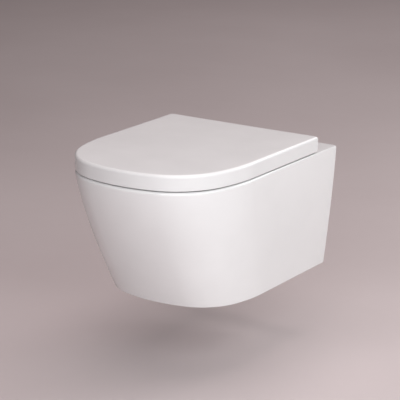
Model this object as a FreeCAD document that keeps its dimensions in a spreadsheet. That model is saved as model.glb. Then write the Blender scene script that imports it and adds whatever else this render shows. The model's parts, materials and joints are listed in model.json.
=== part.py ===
"""Wall hung toilet: a vitreous china pan, its hidden wall fixings, and a lift-off soft-close seat and lid.

Frame: X to the right as one faces the toilet, +Y into the wall, +Z up, in millimetres.
The origin is halfway between the two wall studs, in the plane of the finished wall (Y = 0).
The toilet hangs in front of the wall, so everything lies at Y <= 0.
"""
import FreeCAD, Part
import math
import os

import Sketcher

Vector = FreeCAD.Vector
Rotation = FreeCAD.Rotation

# Driving sizes: alias, value (mm unless the meaning says otherwise), meaning.
SIZES = [
    # the pan's outside
    ("half_width", 180, "half the width of the rim and of the lid"),
    ("projection", 507, "wall to the front of the rim"),
    ("shoulder_setback", 190, "front of the rim to where the straight sides end"),
    ("shoulder_radius", 314, "radius of the side where it starts to turn in"),
    ("corner_radius", 133, "radius of the rounded front corners"),
    ("nose_radius", 286, "radius of the front"),
    ("foot_half_width", 156, "half the width at the underside"),
    ("foot_projection", 399, "wall to the front of the underside"),
    ("foot_setback", 159, "front of the underside to where the straight sides end"),
    ("foot_shoulder_radius", 268, "shoulder radius at the underside"),
    ("foot_corner_radius", 106, "front corner radius at the underside"),
    ("foot_nose_radius", 274, "front radius at the underside"),
    ("belly_power", 1.3, "how late the sides draw in on the way down (no unit)"),
    ("rim_height", 84, "stud line to the top of the rim"),
    ("underside_depth", 172, "stud line to the underside"),
    ("rim_round", 4, "rounding of the rim's outer edge"),
    ("foot_round", 3, "rounding of the lower edge"),
    ("ground_off", 0.5, "china ground off the rear after firing, to make it flat"),
    ("rear_corner_round", 6, "rounding of the upright rear edges"),
    ("china_wall", 10, "thickness of the outer china wall"),
    ("deck_thickness", 12, "thickness of the rim and the rear deck"),
    # the bowl
    ("rim_width", 38, "outer edge of the rim to the bowl, at front and sides"),
    ("bowl_rear", 150, "wall to the rear edge of the bowl"),
    ("bowl_rear_radius", 88, "rear corner radius of the bowl's mouth"),
    ("bowl_wall", 9, "thickness of the bowl and trap walls"),
    ("rim_inner_round", 5, "rounding of the bowl's mouth"),
    ("guide_depth", 30, "rim top to the ledge that guides the flush water"),
    ("guide_ledge", 5, "width of that ledge"),
    # the trap and the wall connections
    ("trap_radius", 25, "inside radius of the trapway"),
    ("trap_dip_radius", 45, "centre line radius of the trap's lower bend"),
    ("trap_crest_radius", 35, "centre line radius of the bend over the weir"),
    ("trap_rise", 20, "straight rise between the two bends"),
    ("trap_crest_setback", 112, "wall to the crest of the weir"),
    ("trap_run_in", 35, "straight start of the trap, inside the sump"),
    ("sump_floor", 8, "thickness of china under the trap"),
    ("outlet_drop", 100, "stud line down to the outlet's axis"),
    ("outlet_bore", 42, "inside radius of the outlet"),
    ("outlet_radius", 51, "outside radius of the outlet spigot"),
    ("spigot_length", 36, "length of the spigot that takes the drain connector"),
    ("spigot_relief", 1, "step from the spigot down to the drain chamber"),
    ("outlet_chamber", 112, "wall to the blind end of the outlet's bore"),
    ("port_recess", 5, "wall to the rear ends of the inlet and the outlet"),
    ("inlet_rise", 35, "stud line up to the inlet's axis"),
    ("inlet_bore", 27.5, "inside radius of the inlet socket"),
    ("inlet_wall", 8, "thickness of china round the inlet"),
    ("inlet_depth", 40, "depth of the inlet socket"),
    ("flush_duct_radius", 22, "radius of the duct from the socket to the bowl"),
    ("window_half_width", 44, "half the width of the flush window in the bowl"),
    ("window_height", 18, "height of the flush window"),
    # wall fixings
    ("stud_spacing", 180, "centre to centre of the two wall studs"),
    ("stud_hole_radius", 6.5, "hole for a wall stud of 12 mm"),
    ("stud_thread_radius", 6.05, "bore that stands for the thread of 12 mm"),
    ("bracket_width", 50, "width of the bracket's foot on the wall"),
    ("bracket_foot", 14, "thickness of the bracket's foot"),
    ("web_reach", 55, "foot to the tip of the web under the arm"),
    ("web_drop", 34, "how far the web reaches below the arm"),
    ("web_thickness", 10, "thickness of the web"),
    ("bracket_round", 5, "rounding of the bracket's outer corners"),
    ("bracket_drop", 28, "how far the bracket's foot reaches below the stud"),
    ("arm_width", 30, "width of the bracket's arm"),
    ("arm_height", 20, "height of the bracket's arm"),
    ("arm_nose", 16, "arm past the centre of the seat stud"),
    ("arm_pad", 2, "rubber pad between arm and china"),
    ("wall_washer_radius", 14, "radius of the wall washer"),
    ("wall_washer_thickness", 2.5, "thickness of the wall washer"),
    ("wall_nut_flats", 19, "across flats of the wall nut"),
    ("wall_nut_height", 10, "height of the wall nut"),
    ("clamp_washer_radius", 10, "radius of the clamp washer"),
    ("clamp_washer_thickness", 2, "thickness of the clamp washer"),
    ("clamp_nut_flats", 13, "across flats of the clamp nut"),
    ("clamp_nut_height", 7, "height of the clamp nut"),
    ("clamp_thread_radius", 4, "shank radius of the seat stud"),
    ("clamp_clearance", 0.5, "shank to its holes in arm, pad and sleeve"),
    ("stud_tail", 6, "seat stud past the clamp nut"),
    ("thread_clearance", 0.05, "bore that stands for a thread, over its shank"),
    # seat studs
    ("seat_hole_spacing", 155, "centre to centre of the two seat studs"),
    ("seat_hole_setback", 108, "wall to the seat studs"),
    ("seat_hole_radius", 7.5, "hole in the deck for a seat stud"),
    ("sleeve_clearance", 0.3, "centring sleeve in the deck's hole"),
    ("gasket_thickness", 1, "gasket under the seat stud's flange"),
    ("flange_radius", 13, "flange of the seat stud"),
    ("flange_thickness", 3, "thickness of that flange"),
    ("post_radius", 6, "post of the seat stud"),
    ("post_height", 13, "height of the post over its flange"),
    ("groove_radius", 4.8, "bottom of the groove round the post"),
    ("groove_height", 3, "height of that groove"),
    ("groove_rise", 1.2, "flange to the groove"),
    ("key_flats", 6, "across flats of the key socket in the post"),
    ("key_depth", 5, "depth of the key socket"),
    # lid
    ("lid_gap", 2, "rim to the lid's lower edge"),
    ("lid_height", 32, "height of the lid's side"),
    ("lid_rear", 75, "wall to the lid's rear edge"),
    ("lid_skirt", 5, "thickness of the lid's side"),
    ("lid_draft", 2, "how far the lid's lower edge is drawn in"),
    ("lid_plate", 5.5, "thickness of the lid's top"),
    ("lid_round", 6, "rounding of the lid's upper edge"),
    ("lid_inner_round", 3, "rounding inside the lid, under its top"),
    ("lid_corner", 8, "rear corner radius of the lid"),
    ("lid_buffer_radius", 7, "radius of a lid buffer"),
    # hinge
    ("seat_buffer_inset", 22, "outer edge of the rim to the middle of a seat buffer"),
    ("lid_buffer_inset", 36, "outer edge of the rim to the middle of a lid buffer"),
    ("axis_setback", 85, "wall to the hinge axis"),
    ("axis_rise", 19, "rim to the hinge axis"),
    ("swing_clearance", 0.8, "deck to the lid's rear edge as it swings"),
    ("lug_radius", 8.5, "radius of the lugs on seat and lid"),
    ("lug_width", 8, "width of a lug along the axis"),
    ("lug_gap", 1, "lug to the hinge block"),
    ("lug_step", 6, "hinge axis to the underside of a seat lug's arm"),
    ("notch_gap", 1.5, "lugs to the sides of the gap in the lid's rear skirt"),
    ("block_length", 44, "length of a hinge block along the axis"),
    ("block_wall", 5, "end wall of the hinge block, and its cap"),
    ("barrel_radius", 9, "barrel of the hinge block"),
    ("barrel_lip", 1.5, "how far the barrel stands out over the block's rear"),
    ("damper_radius", 7.2, "radius of the damper"),
    ("damper_clearance", 0.1, "damper in its bore"),
    ("pin_radius", 3.5, "radius of pins and rotors"),
    ("pin_clearance", 0.08, "pins and rotors in what they turn in"),
    ("pin_head_radius", 5, "head of a hinge pin"),
    ("pin_head", 1.5, "thickness of that head"),
    ("end_gap", 0.1, "damper, pin head and cap to one another along the axis"),
    ("rotor_flats", 5, "across the flats of a rotor"),
    ("rotor_reach", 11, "how far a rotor reaches into its damper"),
    ("rotor_collar_radius", 5.4, "collar of a rotor"),
    ("rotor_collar", 3, "thickness of that collar"),
    ("key_clearance", 0.05, "rotor's flats in the lug"),
    ("bush_wall", 1.5, "thickness of a hinge bush"),
    ("bush_clearance", 0.02, "hinge bush in its lug"),
    ("block_round", 3, "rounding of the block's front edges"),
    ("block_nose", 14, "seat stud to the front of the hinge block"),
    ("block_top", 6, "hinge axis to the top of the block's front part"),
    ("block_gap", 0.3, "deck to the underside of the block"),
    ("socket_clearance", 0.3, "block round the post and the flange"),
    # release
    ("slider_width", 12.8, "width of the release slider"),
    ("slider_nose", 8.8, "width of the slider's nose"),
    ("slider_taper", 3, "length of the slider's taper"),
    ("slider_thickness", 2.4, "thickness of the release slider"),
    ("slider_clearance", 0.25, "slider in its guide"),
    ("slider_reach", 10, "slider's nose to the post's centre at rest"),
    ("button_width", 16, "width of the release button"),
    ("button_height", 5, "height of the release button"),
    ("button_rise", 1.6, "deck to the underside of the button"),
    ("button_stand", 4, "how far the button stands out of the block"),
    ("button_lap", 1, "how far the button sits inside the block at rest"),
    ("button_travel", 3.5, "travel of the release button"),
    ("button_clearance", 0.3, "button in its recess"),
    ("button_round", 0.8, "rounding of the button's outer edges"),
    ("clip_wire", 1.4, "wire of the latch clip"),
    ("clip_clearance", 0.1, "latch clip in the groove"),
    ("clip_tail", 9.5, "centre of the post to the ends of the latch clip"),
    ("clip_play", 1.6, "room for the latch clip to spread"),
    ("spring_wire", 0.5, "wire of the release spring"),
    ("spring_radius", 1.2, "middle radius of the release spring"),
    ("spring_turns", 7, "turns of the release spring (no unit)"),
    ("spring_length", 14, "length of the release spring at rest"),
    ("spring_clearance", 0.2, "release spring in its pocket"),
    # seat
    ("seat_inset", 9, "lid's outside to the seat's outside"),
    ("seat_rear", 128, "wall to the seat's rear edge"),
    ("seat_lift", 4, "rim to the seat's underside"),
    ("seat_thickness", 20, "thickness of the seat"),
    ("seat_ring", 57, "width of the seat at front and sides"),
    ("seat_hole_rear", 182, "wall to the rear of the seat's opening"),
    ("seat_hole_radius_rear", 58, "rear corner radius of the seat's opening"),
    ("seat_corner", 14, "rear corner radius of the seat"),
    ("seat_outer_round", 6, "rounding of the seat's outer upper edge"),
    ("seat_inner_round", 8, "rounding of the seat's inner upper edge"),
    ("seat_under_round", 2, "rounding of the seat's lower edges"),
    ("front_buffer_turn", 12, "angle from the centre line to a front buffer (degrees)"),
    ("buffer_round", 4, "rounding of a seat buffer's corners"),
    ("buffer_width", 12, "width of a seat buffer"),
    ("buffer_length", 36, "length of a seat buffer"),
    ("rest_gap", 0.3, "what rests on what, at rest"),
    # small parts of the flush
    ("seal_clearance", 0.03, "inlet seal in its socket"),
    ("seal_wall", 4.9, "thickness of the inlet seal"),
    ("seal_length", 25, "depth of the seal in the socket"),
    ("seal_flange", 6, "how far the seal's flange stands out"),
    ("seal_flange_thickness", 3, "thickness of the seal's flange"),
    ("hood_reach", 11, "how far the water splitter stands into the bowl"),
    ("hood_wall", 2.5, "thickness of the water splitter"),
    ("hood_clearance", 0.4, "water splitter in the flush window"),
    ("hood_depth", 32, "height of the water splitter's front"),
    ("hood_rib_spread", 26, "centre line to a rib of the water splitter"),
]

# Height of each bowl section as a share of the way from the ledge (0) to the sump's floor (1),
# its size as a share of the mouth, and how far its rear wall has moved forward.
BOWL_SECTIONS = [
    (0.00, 0.965, 0),
    (0.18, 0.900, 6),
    (0.42, 0.730, 18),
    (0.64, 0.540, 34),
    (0.84, 0.375, 50),
    (1.00, 0.270, 62),
]

# Shares of the pan's height at which its outline is drawn, from the rim down.
PAN_SECTIONS = [0.0, 0.25, 0.5, 0.75, 1.0]

EXTRA = 2  # how far a cutting tool runs past the face it cuts

doc = FreeCAD.newDocument("wall_hung_toilet")
sheet = doc.addObject("Spreadsheet::Sheet", "Sizes")
parts = []


def fill_sheet():
    for row, (alias, value, meaning) in enumerate(SIZES, start=1):
        sheet.set(f"A{row}", alias.replace("_", " "))
        sheet.set(f"B{row}", str(value))
        sheet.setAlias(f"B{row}", alias)
        sheet.set(f"C{row}", meaning)
    doc.recompute()


def cells(formula):
    """The formula with each alias written as a reference to its cell."""
    out, word = "", ""
    for ch in formula + " ":
        if ch.isalnum() or ch == "_":
            word += ch
            continue
        out += f"Sizes.{word}" if word in ALIASES else word
        word = ""
        out += ch
    return out.strip()


ALIASES = {alias for alias, _, _ in SIZES}


def num(formula):
    """The formula's value in mm, from the sheet."""
    value = sheet.evalExpression(cells(str(formula)))
    return float(getattr(value, "Value", value))


def bind(obj, prop, formula):
    obj.setExpression(prop, cells(str(formula)))


def place(obj, x=0, y=0, z=0, rotation=None):
    """Puts obj at formulas for x, y and z."""
    if rotation is not None:
        obj.Placement = FreeCAD.Placement(Vector(), rotation)
    for axis, formula in zip("xyz", (x, y, z)):
        bind(obj, f"Placement.Base.{axis}", formula)


# Rotations that lay a cylinder, which stands along its own Z, along X or towards the room.
ALONG_X = Rotation(Vector(0, 1, 0), 90)
TO_ROOM = Rotation(Vector(1, 0, 0), 90)


def cylinder(name, radius, height, x=0, y=0, z=0, rotation=None):
    obj = doc.addObject("Part::Cylinder", name)
    bind(obj, "Radius", radius)
    bind(obj, "Height", height)
    place(obj, x, y, z, rotation)
    return obj


def box(name, x0, x1, y0, y1, z0, z1):
    """A box from its lowest to its highest corner."""
    obj = doc.addObject("Part::Box", name)
    bind(obj, "Length", f"({x1}) - ({x0})")
    bind(obj, "Width", f"({y1}) - ({y0})")
    bind(obj, "Height", f"({z1}) - ({z0})")
    place(obj, x0, y0, z0)
    return obj


def hexagon(name, flats, height, x=0, y=0, z=0, rotation=None):
    obj = doc.addObject("Part::Prism", name)
    obj.Polygon = 6
    bind(obj, "Circumradius", f"({flats}) / (2 * cos(30 deg))")
    bind(obj, "Height", height)
    place(obj, x, y, z, rotation)
    return obj


def fuse(name, *shapes):
    obj = doc.addObject("Part::MultiFuse", name)
    obj.Shapes = list(shapes)
    return obj


def cut(name, base, *tools):
    for n, tool in enumerate(tools):
        obj = doc.addObject("Part::Cut", name if n == len(tools) - 1 else f"{name}_{n}")
        obj.Base = base
        obj.Tool = tool
        base = obj
    return base


def common(name, first, second):
    obj = doc.addObject("Part::MultiCommon", name)
    obj.Shapes = [first, second]
    return obj


def mirrored(name, source):
    """The source seen in the plane X = 0."""
    obj = doc.addObject("Part::Mirroring", name)
    obj.Source = source
    obj.Normal = Vector(1, 0, 0)
    obj.Base = Vector(0, 0, 0)
    return obj


def node(obj, label):
    """Declares obj as a sub-part whose file is named label."""
    obj.Label = label
    parts.append(obj)
    return obj


def pair(label, right):
    """One node that holds a right-hand piece and its mirror image."""
    group = doc.addObject("Part::Compound", f"{label}_pair")
    group.Links = [right, mirrored(f"{label}_other", right)]
    return node(group, label)


def left_and_right(label_left, label_right, right):
    """Two nodes, the right-hand piece and its mirror image."""
    node(mirrored(f"{label_left}_shape", right), label_left)
    return node(right, label_right)


def rounded(name, base, radius, choose):
    """Fillets those edges of base that choose accepts."""
    doc.recompute()
    numbers = [n for n, edge in enumerate(base.Shape.Edges, start=1) if choose(edge)]
    obj = doc.addObject("Part::Fillet", name)
    obj.Base = base
    obj.Edges = [(n, num(radius), num(radius)) for n in numbers]
    return obj


def level_edge(height):
    """Accepts the edges that lie at a height, wherever they run."""
    z = num(height)
    return lambda edge: abs(edge.BoundBox.ZMin - z) < 1e-3 and abs(edge.BoundBox.ZMax - z) < 1e-3


def dimension(sketch, kind, where, formula, name):
    """A named constraint whose value follows a formula."""
    number = sketch.addConstraint(Sketcher.Constraint(kind, *where, num(formula)))
    sketch.renameConstraint(number, name)
    bind(sketch, f"Constraints.{name}", formula)


def offset_outline(outline, inset):
    """The formulas of an outline moved inwards by inset, with its arcs' centres kept."""
    moved = {k: f"({outline[k]}) - ({inset})" for k in ("half", "front", "shoulder", "corner", "nose")}
    moved["rear"] = f"({outline['rear']}) + ({inset})"
    moved["start"] = outline["start"]
    if "rear_corner" in outline:
        moved["rear_corner"] = f"({outline['rear_corner']}) - ({inset})"
    return moved


def outline_sketch(name, outline, z):
    """A D-shaped outline at height z: a rear line, straight sides, and a shoulder, a corner and a nose arc.

    half, rear and front are distances from the centre line and the wall, start is where the sides begin
    to turn in, and shoulder, corner, nose and rear_corner are radii.
    """
    value = {k: num(v) for k, v in outline.items()}
    half, rear, start, front = (value[k] for k in ("half", "rear", "start", "front"))
    shoulder, corner, nose = (value[k] for k in ("shoulder", "corner", "nose"))
    back = value.get("rear_corner", 0)
    shoulder_centre = Vector(half - shoulder, -start)
    nose_centre = Vector(0, nose - front)
    corner_centre = meet(shoulder_centre, shoulder - corner, nose_centre, nose - corner)
    turn = angle_to(shoulder_centre, corner_centre)
    tip = angle_to(nose_centre, corner_centre)

    sketch = doc.addObject("Sketcher::SketchObject", name)
    bind(sketch, "Placement.Base.z", z)

    def line(x0, y0, x1, y1):
        return sketch.addGeometry(Part.LineSegment(Vector(x0, y0), Vector(x1, y1)))

    def arc(centre, radius, first, last):
        circle = Part.Circle(centre, Vector(0, 0, 1), radius)
        return sketch.addGeometry(Part.ArcOfCircle(circle, first, last))

    def opposite(centre):
        return Vector(-centre.x, centre.y)

    rear_line = line(-half + back, -rear, half - back, -rear)
    right = line(half, -rear - back, half, -start)
    right_shoulder = arc(shoulder_centre, shoulder, turn, 0)
    right_corner = arc(corner_centre, corner, tip, turn)
    front_arc = arc(nose_centre, nose, -math.pi - tip, tip)
    left_corner = arc(opposite(corner_centre), corner, -math.pi - turn, -math.pi - tip)
    left_shoulder = arc(opposite(shoulder_centre), shoulder, -math.pi, -math.pi - turn)
    left = line(-half, -start, -half, -rear - back)

    def join(kind, first, first_end, second, second_end):
        sketch.addConstraint(Sketcher.Constraint(kind, first, first_end, second, second_end))

    if back:
        right_back = arc(Vector(half - back, -rear - back), back, 0, math.pi / 2)
        left_back = arc(Vector(back - half, -rear - back), back, math.pi / 2, math.pi)
        join("Tangent", rear_line, 2, right_back, 2)
        join("Tangent", right_back, 1, right, 1)
        join("Tangent", rear_line, 1, left_back, 1)
        join("Tangent", left_back, 2, left, 2)
        dimension(sketch, "Radius", (right_back,), outline["rear_corner"], "rear_corner")
        sketch.addConstraint(Sketcher.Constraint("Equal", right_back, left_back))
    else:
        join("Coincident", rear_line, 2, right, 1)
        join("Coincident", rear_line, 1, left, 2)
    join("Tangent", right, 2, right_shoulder, 2)
    join("Tangent", right_shoulder, 1, right_corner, 2)
    join("Tangent", right_corner, 1, front_arc, 2)
    join("Tangent", front_arc, 1, left_corner, 2)
    join("Tangent", left_corner, 1, left_shoulder, 2)
    join("Tangent", left_shoulder, 1, left, 1)
    for upright in (right, left):
        sketch.addConstraint(Sketcher.Constraint("Vertical", upright))
    sketch.addConstraint(Sketcher.Constraint("Horizontal", rear_line))
    sketch.addConstraint(Sketcher.Constraint("PointOnObject", front_arc, 3, -2))
    sketch.addConstraint(Sketcher.Constraint("Equal", right_shoulder, left_shoulder))
    sketch.addConstraint(Sketcher.Constraint("Equal", right_corner, left_corner))
    dimension(sketch, "DistanceX", (-1, 1, right, 2), outline["half"], "right_half")
    dimension(sketch, "DistanceX", (left, 1, -1, 1), outline["half"], "left_half")
    dimension(sketch, "DistanceY", (rear_line, 2, -1, 1), outline["rear"], "rear")
    dimension(sketch, "DistanceY", (right, 2, -1, 1), outline["start"], "right_start")
    dimension(sketch, "DistanceY", (left, 1, -1, 1), outline["start"], "left_start")
    dimension(sketch, "Radius", (right_shoulder,), outline["shoulder"], "shoulder")
    dimension(sketch, "Radius", (right_corner,), outline["corner"], "corner")
    dimension(sketch, "Radius", (front_arc,), outline["nose"], "nose")
    nose_setback = f"({outline['front']}) - ({outline['nose']})"
    dimension(sketch, "DistanceY", (front_arc, 3, -1, 1), nose_setback, "nose_setback")
    return sketch


def meet(first, first_radius, second, second_radius):
    """Where two circles cross, on the side of positive X and negative Y."""
    gap = second - first
    reach = gap.Length
    along = (first_radius**2 - second_radius**2 + reach**2) / (2 * reach)
    across = math.sqrt(first_radius**2 - along**2)
    unit = gap / reach
    side = Vector(-unit.y, unit.x)
    found = [first + unit * along + side * across * sign for sign in (1, -1)]
    return max(found, key=lambda p: p.x - p.y)


def angle_to(start, end):
    return math.atan2(end.y - start.y, end.x - start.x)


def loft(name, sketches):
    obj = doc.addObject("Part::Loft", name)
    obj.Sections = sketches
    obj.Solid = True
    obj.Ruled = False
    return obj


def prism(name, sketch, height):
    obj = doc.addObject("Part::Extrusion", name)
    obj.Base = sketch
    obj.DirMode = "Custom"
    obj.Dir = Vector(0, 0, 1)
    obj.Solid = True
    bind(obj, "LengthFwd", height)
    return obj


# ---------------------------------------------------------------- outlines

RIM = {
    "half": "half_width", "rear": "0",
    "start": "projection - shoulder_setback", "front": "projection",
    "shoulder": "shoulder_radius", "corner": "corner_radius", "nose": "nose_radius",
    "rear_corner": "rear_corner_round",
}
FOOT = {
    "half": "foot_half_width", "rear": "0",
    "start": "foot_projection - foot_setback", "front": "foot_projection",
    "shoulder": "foot_shoulder_radius", "corner": "foot_corner_radius", "nose": "foot_nose_radius",
    "rear_corner": "rear_corner_round",
}


def pan_outline(share):
    """The pan's outline at a share of its height, from the rim (0) to the underside (1)."""
    drawn_in = f"({share}) ^ belly_power"
    return {k: f"({RIM[k]}) + (({FOOT[k]}) - ({RIM[k]})) * {drawn_in}" for k in RIM}


def bowl_outline(scale, rear):
    """The bowl's outline as a share of its mouth's size, with its rear wall at rear."""
    return {
        "half": f"(half_width - rim_width) * {scale}",
        "rear": rear,
        "rear_corner": f"bowl_rear_radius * {scale}",
        "start": f"({rear}) + (projection - shoulder_setback - bowl_rear) * {scale}",
        "front": f"({rear}) + (projection - rim_width - bowl_rear) * {scale}",
        "shoulder": f"(shoulder_radius - rim_width) * {scale}",
        "corner": f"(corner_radius - rim_width) * {scale}",
        "nose": f"(nose_radius - rim_width) * {scale}",
    }


LID = {**RIM, "rear": "lid_rear", "rear_corner": "lid_corner"}
SEAT = {**offset_outline(RIM, "seat_inset"), "rear": "seat_rear", "rear_corner": "seat_corner"}
SEAT_HOLE = {
    **offset_outline(RIM, "seat_inset + seat_ring"),
    "rear": "seat_hole_rear", "rear_corner": "seat_hole_radius_rear",
}

# Heights, as formulas
DECK = "rim_height"
DECK_UNDER = "rim_height - deck_thickness"
LEDGE = "rim_height - guide_depth"
TRAP_LOW = "-underside_depth + sump_floor + trap_radius"
SUMP = "-underside_depth + sump_floor"
LID_BOTTOM = "rim_height + lid_gap"
LID_TOP = "rim_height + lid_gap + lid_height"
LID_INSIDE = "rim_height + lid_gap + lid_height - lid_plate"
AXIS = "rim_height + axis_rise"
SEAT_BOTTOM = "rim_height + seat_lift"
SEAT_TOP = "rim_height + seat_lift + seat_thickness"


# ---------------------------------------------------------------- pan

def pan_shell(name, inset, top, bottom, rear):
    """The solid inside the pan's outline, inset by a wall, between two heights."""
    sketches = []
    for n, share in enumerate(PAN_SECTIONS):
        z = f"({top}) + (({bottom}) - ({top})) * {share}"
        height_share = f"(rim_height - ({z})) / (rim_height + underside_depth)"
        outline = {**offset_outline(pan_outline(height_share), inset), "rear": rear}
        outline["rear_corner"] = RIM["rear_corner"]
        sketches.append(outline_sketch(f"{name}_{n}", outline, z))
    return loft(name, sketches)


def pan_outside():
    """The pan's outside, fired a little too long and then ground flat where it meets the wall."""
    solid = pan_shell("pan_outside", "0", DECK, "-underside_depth", "-ground_off")
    solid = rounded("pan_rim_rounded", solid, "rim_round", level_edge(DECK))
    solid = rounded("pan_foot_rounded", solid, "foot_round", level_edge("-underside_depth"))
    waste = box(
        "pan_ground_off", "-half_width", "half_width", "0", f"ground_off + {EXTRA}",
        f"-underside_depth - {EXTRA}", f"{DECK} + {EXTRA}",
    )
    return cut("pan_ground", solid, waste)


def bowl_solid(name, inset, floor):
    """The bowl's inside below the ledge, or its outside when inset is negative."""
    sketches = []
    for n, (depth, scale, forward) in enumerate(BOWL_SECTIONS):
        z = f"({LEDGE}) + (({floor}) - ({LEDGE})) * {depth}"
        outline = offset_outline(bowl_outline(scale, f"bowl_rear + guide_ledge + {forward}"), inset)
        sketches.append(outline_sketch(f"{name}_{n}", outline, z))
    return loft(name, sketches)


def trap_path():
    """The trap's centre line: into the sump's rear, up, over the weir and down into the outlet."""
    crest, dip = num("trap_crest_radius"), num("trap_dip_radius")
    low, rise, run = num(TRAP_LOW), num("trap_rise"), num("trap_run_in")
    over, drop = -num("trap_crest_setback"), -num("outlet_drop")
    up = over - crest
    bend_top = low + dip + rise
    diagonal = math.sqrt(0.5)
    path = Part.Wire([
        Part.LineSegment(Vector(0, up - dip - run, low), Vector(0, up - dip, low)).toShape(),
        Part.Arc(
            Vector(0, up - dip, low),
            Vector(0, up - dip + dip * diagonal, low + dip - dip * diagonal),
            Vector(0, up, low + dip),
        ).toShape(),
        Part.LineSegment(Vector(0, up, low + dip), Vector(0, up, bend_top)).toShape(),
        Part.Arc(
            Vector(0, up, bend_top), Vector(0, over, bend_top + crest), Vector(0, over + crest, bend_top)
        ).toShape(),
        Part.LineSegment(Vector(0, over + crest, bend_top), Vector(0, over + crest, drop)).toShape(),
    ])
    obj = doc.addObject("Part::Feature", "trap_path")
    obj.Shape = path
    return obj


def trap_tube(name, path, radius):
    """A tube of the given radius along the trap's centre line."""
    ring = doc.addObject("Part::Circle", f"{name}_ring")
    bind(ring, "Radius", radius)
    start = "trap_crest_setback + trap_crest_radius + trap_dip_radius + trap_run_in"
    place(ring, 0, f"-({start})", TRAP_LOW, TO_ROOM)
    obj = doc.addObject("Part::Sweep", name)
    obj.Sections = [ring]
    obj.Spine = (path, [f"Edge{n}" for n in range(1, len(path.Shape.Edges) + 1)])
    obj.Solid = True
    obj.Frenet = False
    return obj


def port(name, radius, length, z, setback="port_recess"):
    """A cylinder that runs from near the wall towards the room."""
    return cylinder(name, radius, length, 0, f"-({setback})", z, TO_ROOM)


def pan():
    inlet = "inlet_rise"
    outlet = "-outlet_drop"
    window_top = f"({LEDGE}) + window_height"
    duct_end = "bowl_rear + guide_ledge"
    path = trap_path()
    hollow = pan_shell("pan_hollow", "china_wall", DECK_UNDER, "-underside_depth + china_wall", f"-{EXTRA}")
    chamber = box(
        "flush_chamber_outside",
        "-window_half_width - bowl_wall", "window_half_width + bowl_wall",
        f"-({duct_end}) - bowl_wall", f"-({duct_end}) + flush_duct_radius + bowl_wall",
        "inlet_rise - flush_duct_radius - inlet_wall", DECK,
    )
    walls = fuse(
        "pan_walls",
        bowl_solid("bowl_outside", "-bowl_wall", "-underside_depth"),
        prism(
            "bowl_mouth_outside",
            outline_sketch("bowl_mouth_outside_line",
                           offset_outline(bowl_outline("1", "bowl_rear"), "-bowl_wall"),
                           f"({LEDGE}) - bowl_wall"),
            "guide_depth + bowl_wall",
        ),
        trap_tube("trap_outside", path, "trap_radius + bowl_wall"),
        port("outlet_outside", "outlet_radius - spigot_relief",
             "outlet_chamber + bowl_wall - port_recess", outlet),
        port("outlet_spigot", "outlet_radius", "spigot_length", outlet),
        port("inlet_outside", "inlet_bore + inlet_wall", f"{duct_end} - port_recess", inlet),
        chamber,
    )
    spaces = fuse(
        "pan_spaces",
        bowl_solid("bowl_inside", "0", SUMP),
        prism(
            "bowl_mouth",
            outline_sketch("bowl_mouth_line", bowl_outline("1", "bowl_rear"), LEDGE),
            f"guide_depth + {EXTRA}",
        ),
        trap_tube("trap_inside", path, "trap_radius"),
        port("outlet_inside", "outlet_bore", "outlet_chamber", outlet, "0"),
        port("inlet_socket", "inlet_bore", "inlet_depth", inlet, "0"),
        port("inlet_duct", "flush_duct_radius", duct_end, inlet, "0"),
        box(
            "flush_window",
            "-window_half_width", "window_half_width",
            f"-({duct_end}) - hood_reach", f"-({duct_end}) + flush_duct_radius",
            "inlet_rise - flush_duct_radius", window_top,
        ),
        fuse("seat_holes", *[
            cylinder(f"seat_hole_{side}", "seat_hole_radius", f"deck_thickness + 2 * {EXTRA}",
                     f"{sign} * seat_hole_spacing / 2", "-seat_hole_setback", f"{DECK_UNDER} - {EXTRA}")
            for side, sign in (("right", 1), ("left", -1))
        ]),
    )
    body = cut("pan_raw", pan_outside(), cut("pan_voids", hollow, walls), spaces)
    deck = num(DECK)
    mouth = num("half_width - rim_width")
    rear, front = -num("bowl_rear"), -num("projection - rim_width")

    def mouth_edge(edge):
        box_ = edge.BoundBox
        inside = abs(box_.XMin) <= mouth + 1e-3 and abs(box_.XMax) <= mouth + 1e-3
        flat = box_.ZLength < 1e-3 and abs(box_.ZMin - deck) < 1e-3
        return flat and inside and box_.YMax <= rear + 1e-3 and box_.YMin >= front - 1e-3

    node(rounded("pan_rounded", body, "rim_inner_round", mouth_edge), "pan")


# ---------------------------------------------------------------- wall fixings and flush parts

def flush_distributor():
    """The hood in the flush window that turns the water to both sides of the bowl."""
    side = "window_half_width - hood_clearance"
    front = "bowl_rear + guide_ledge + hood_reach"
    back = "bowl_rear + guide_ledge - flush_duct_radius / 2"
    top = f"({LEDGE}) + window_height - hood_clearance"
    bottom = f"({top}) - hood_depth"
    pieces = [
        box("hood_front", f"-({side})", side, f"-({front})", f"-({front}) + hood_wall", bottom, top),
        box("hood_top", f"-({side})", side, f"-({front})", f"-({back})", f"{top} - hood_wall", top),
    ]
    for name, x in (("left", "-hood_rib_spread"), ("middle", "0"), ("right", "hood_rib_spread")):
        pieces.append(box(f"hood_rib_{name}", f"{x} - hood_wall / 2", f"{x} + hood_wall / 2",
                          f"-({front})", f"-({back})", bottom, top))
    for name, edge in (("left", f"-({side})"), ("right", f"{side} - hood_wall")):
        pieces.append(box(f"hood_end_{name}", edge, f"{edge} + hood_wall",
                          "-bowl_rear - guide_ledge", f"-({back})", bottom, top))
    node(fuse("distributor", *pieces), "flush_distributor")


def inlet_seal():
    outer = "inlet_bore"
    body = fuse(
        "seal_body",
        port("seal_sleeve", f"{outer} - seal_clearance", "seal_length", "inlet_rise"),
        port("seal_flange_disc", f"{outer} + seal_flange", "seal_flange_thickness", "inlet_rise",
             "port_recess - seal_flange_thickness"),
    )
    bore = port("seal_bore", f"{outer} - seal_wall", f"seal_length + port_recess + {EXTRA}",
                "inlet_rise", "0")
    node(cut("seal", body, bore), "inlet_seal")


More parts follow.
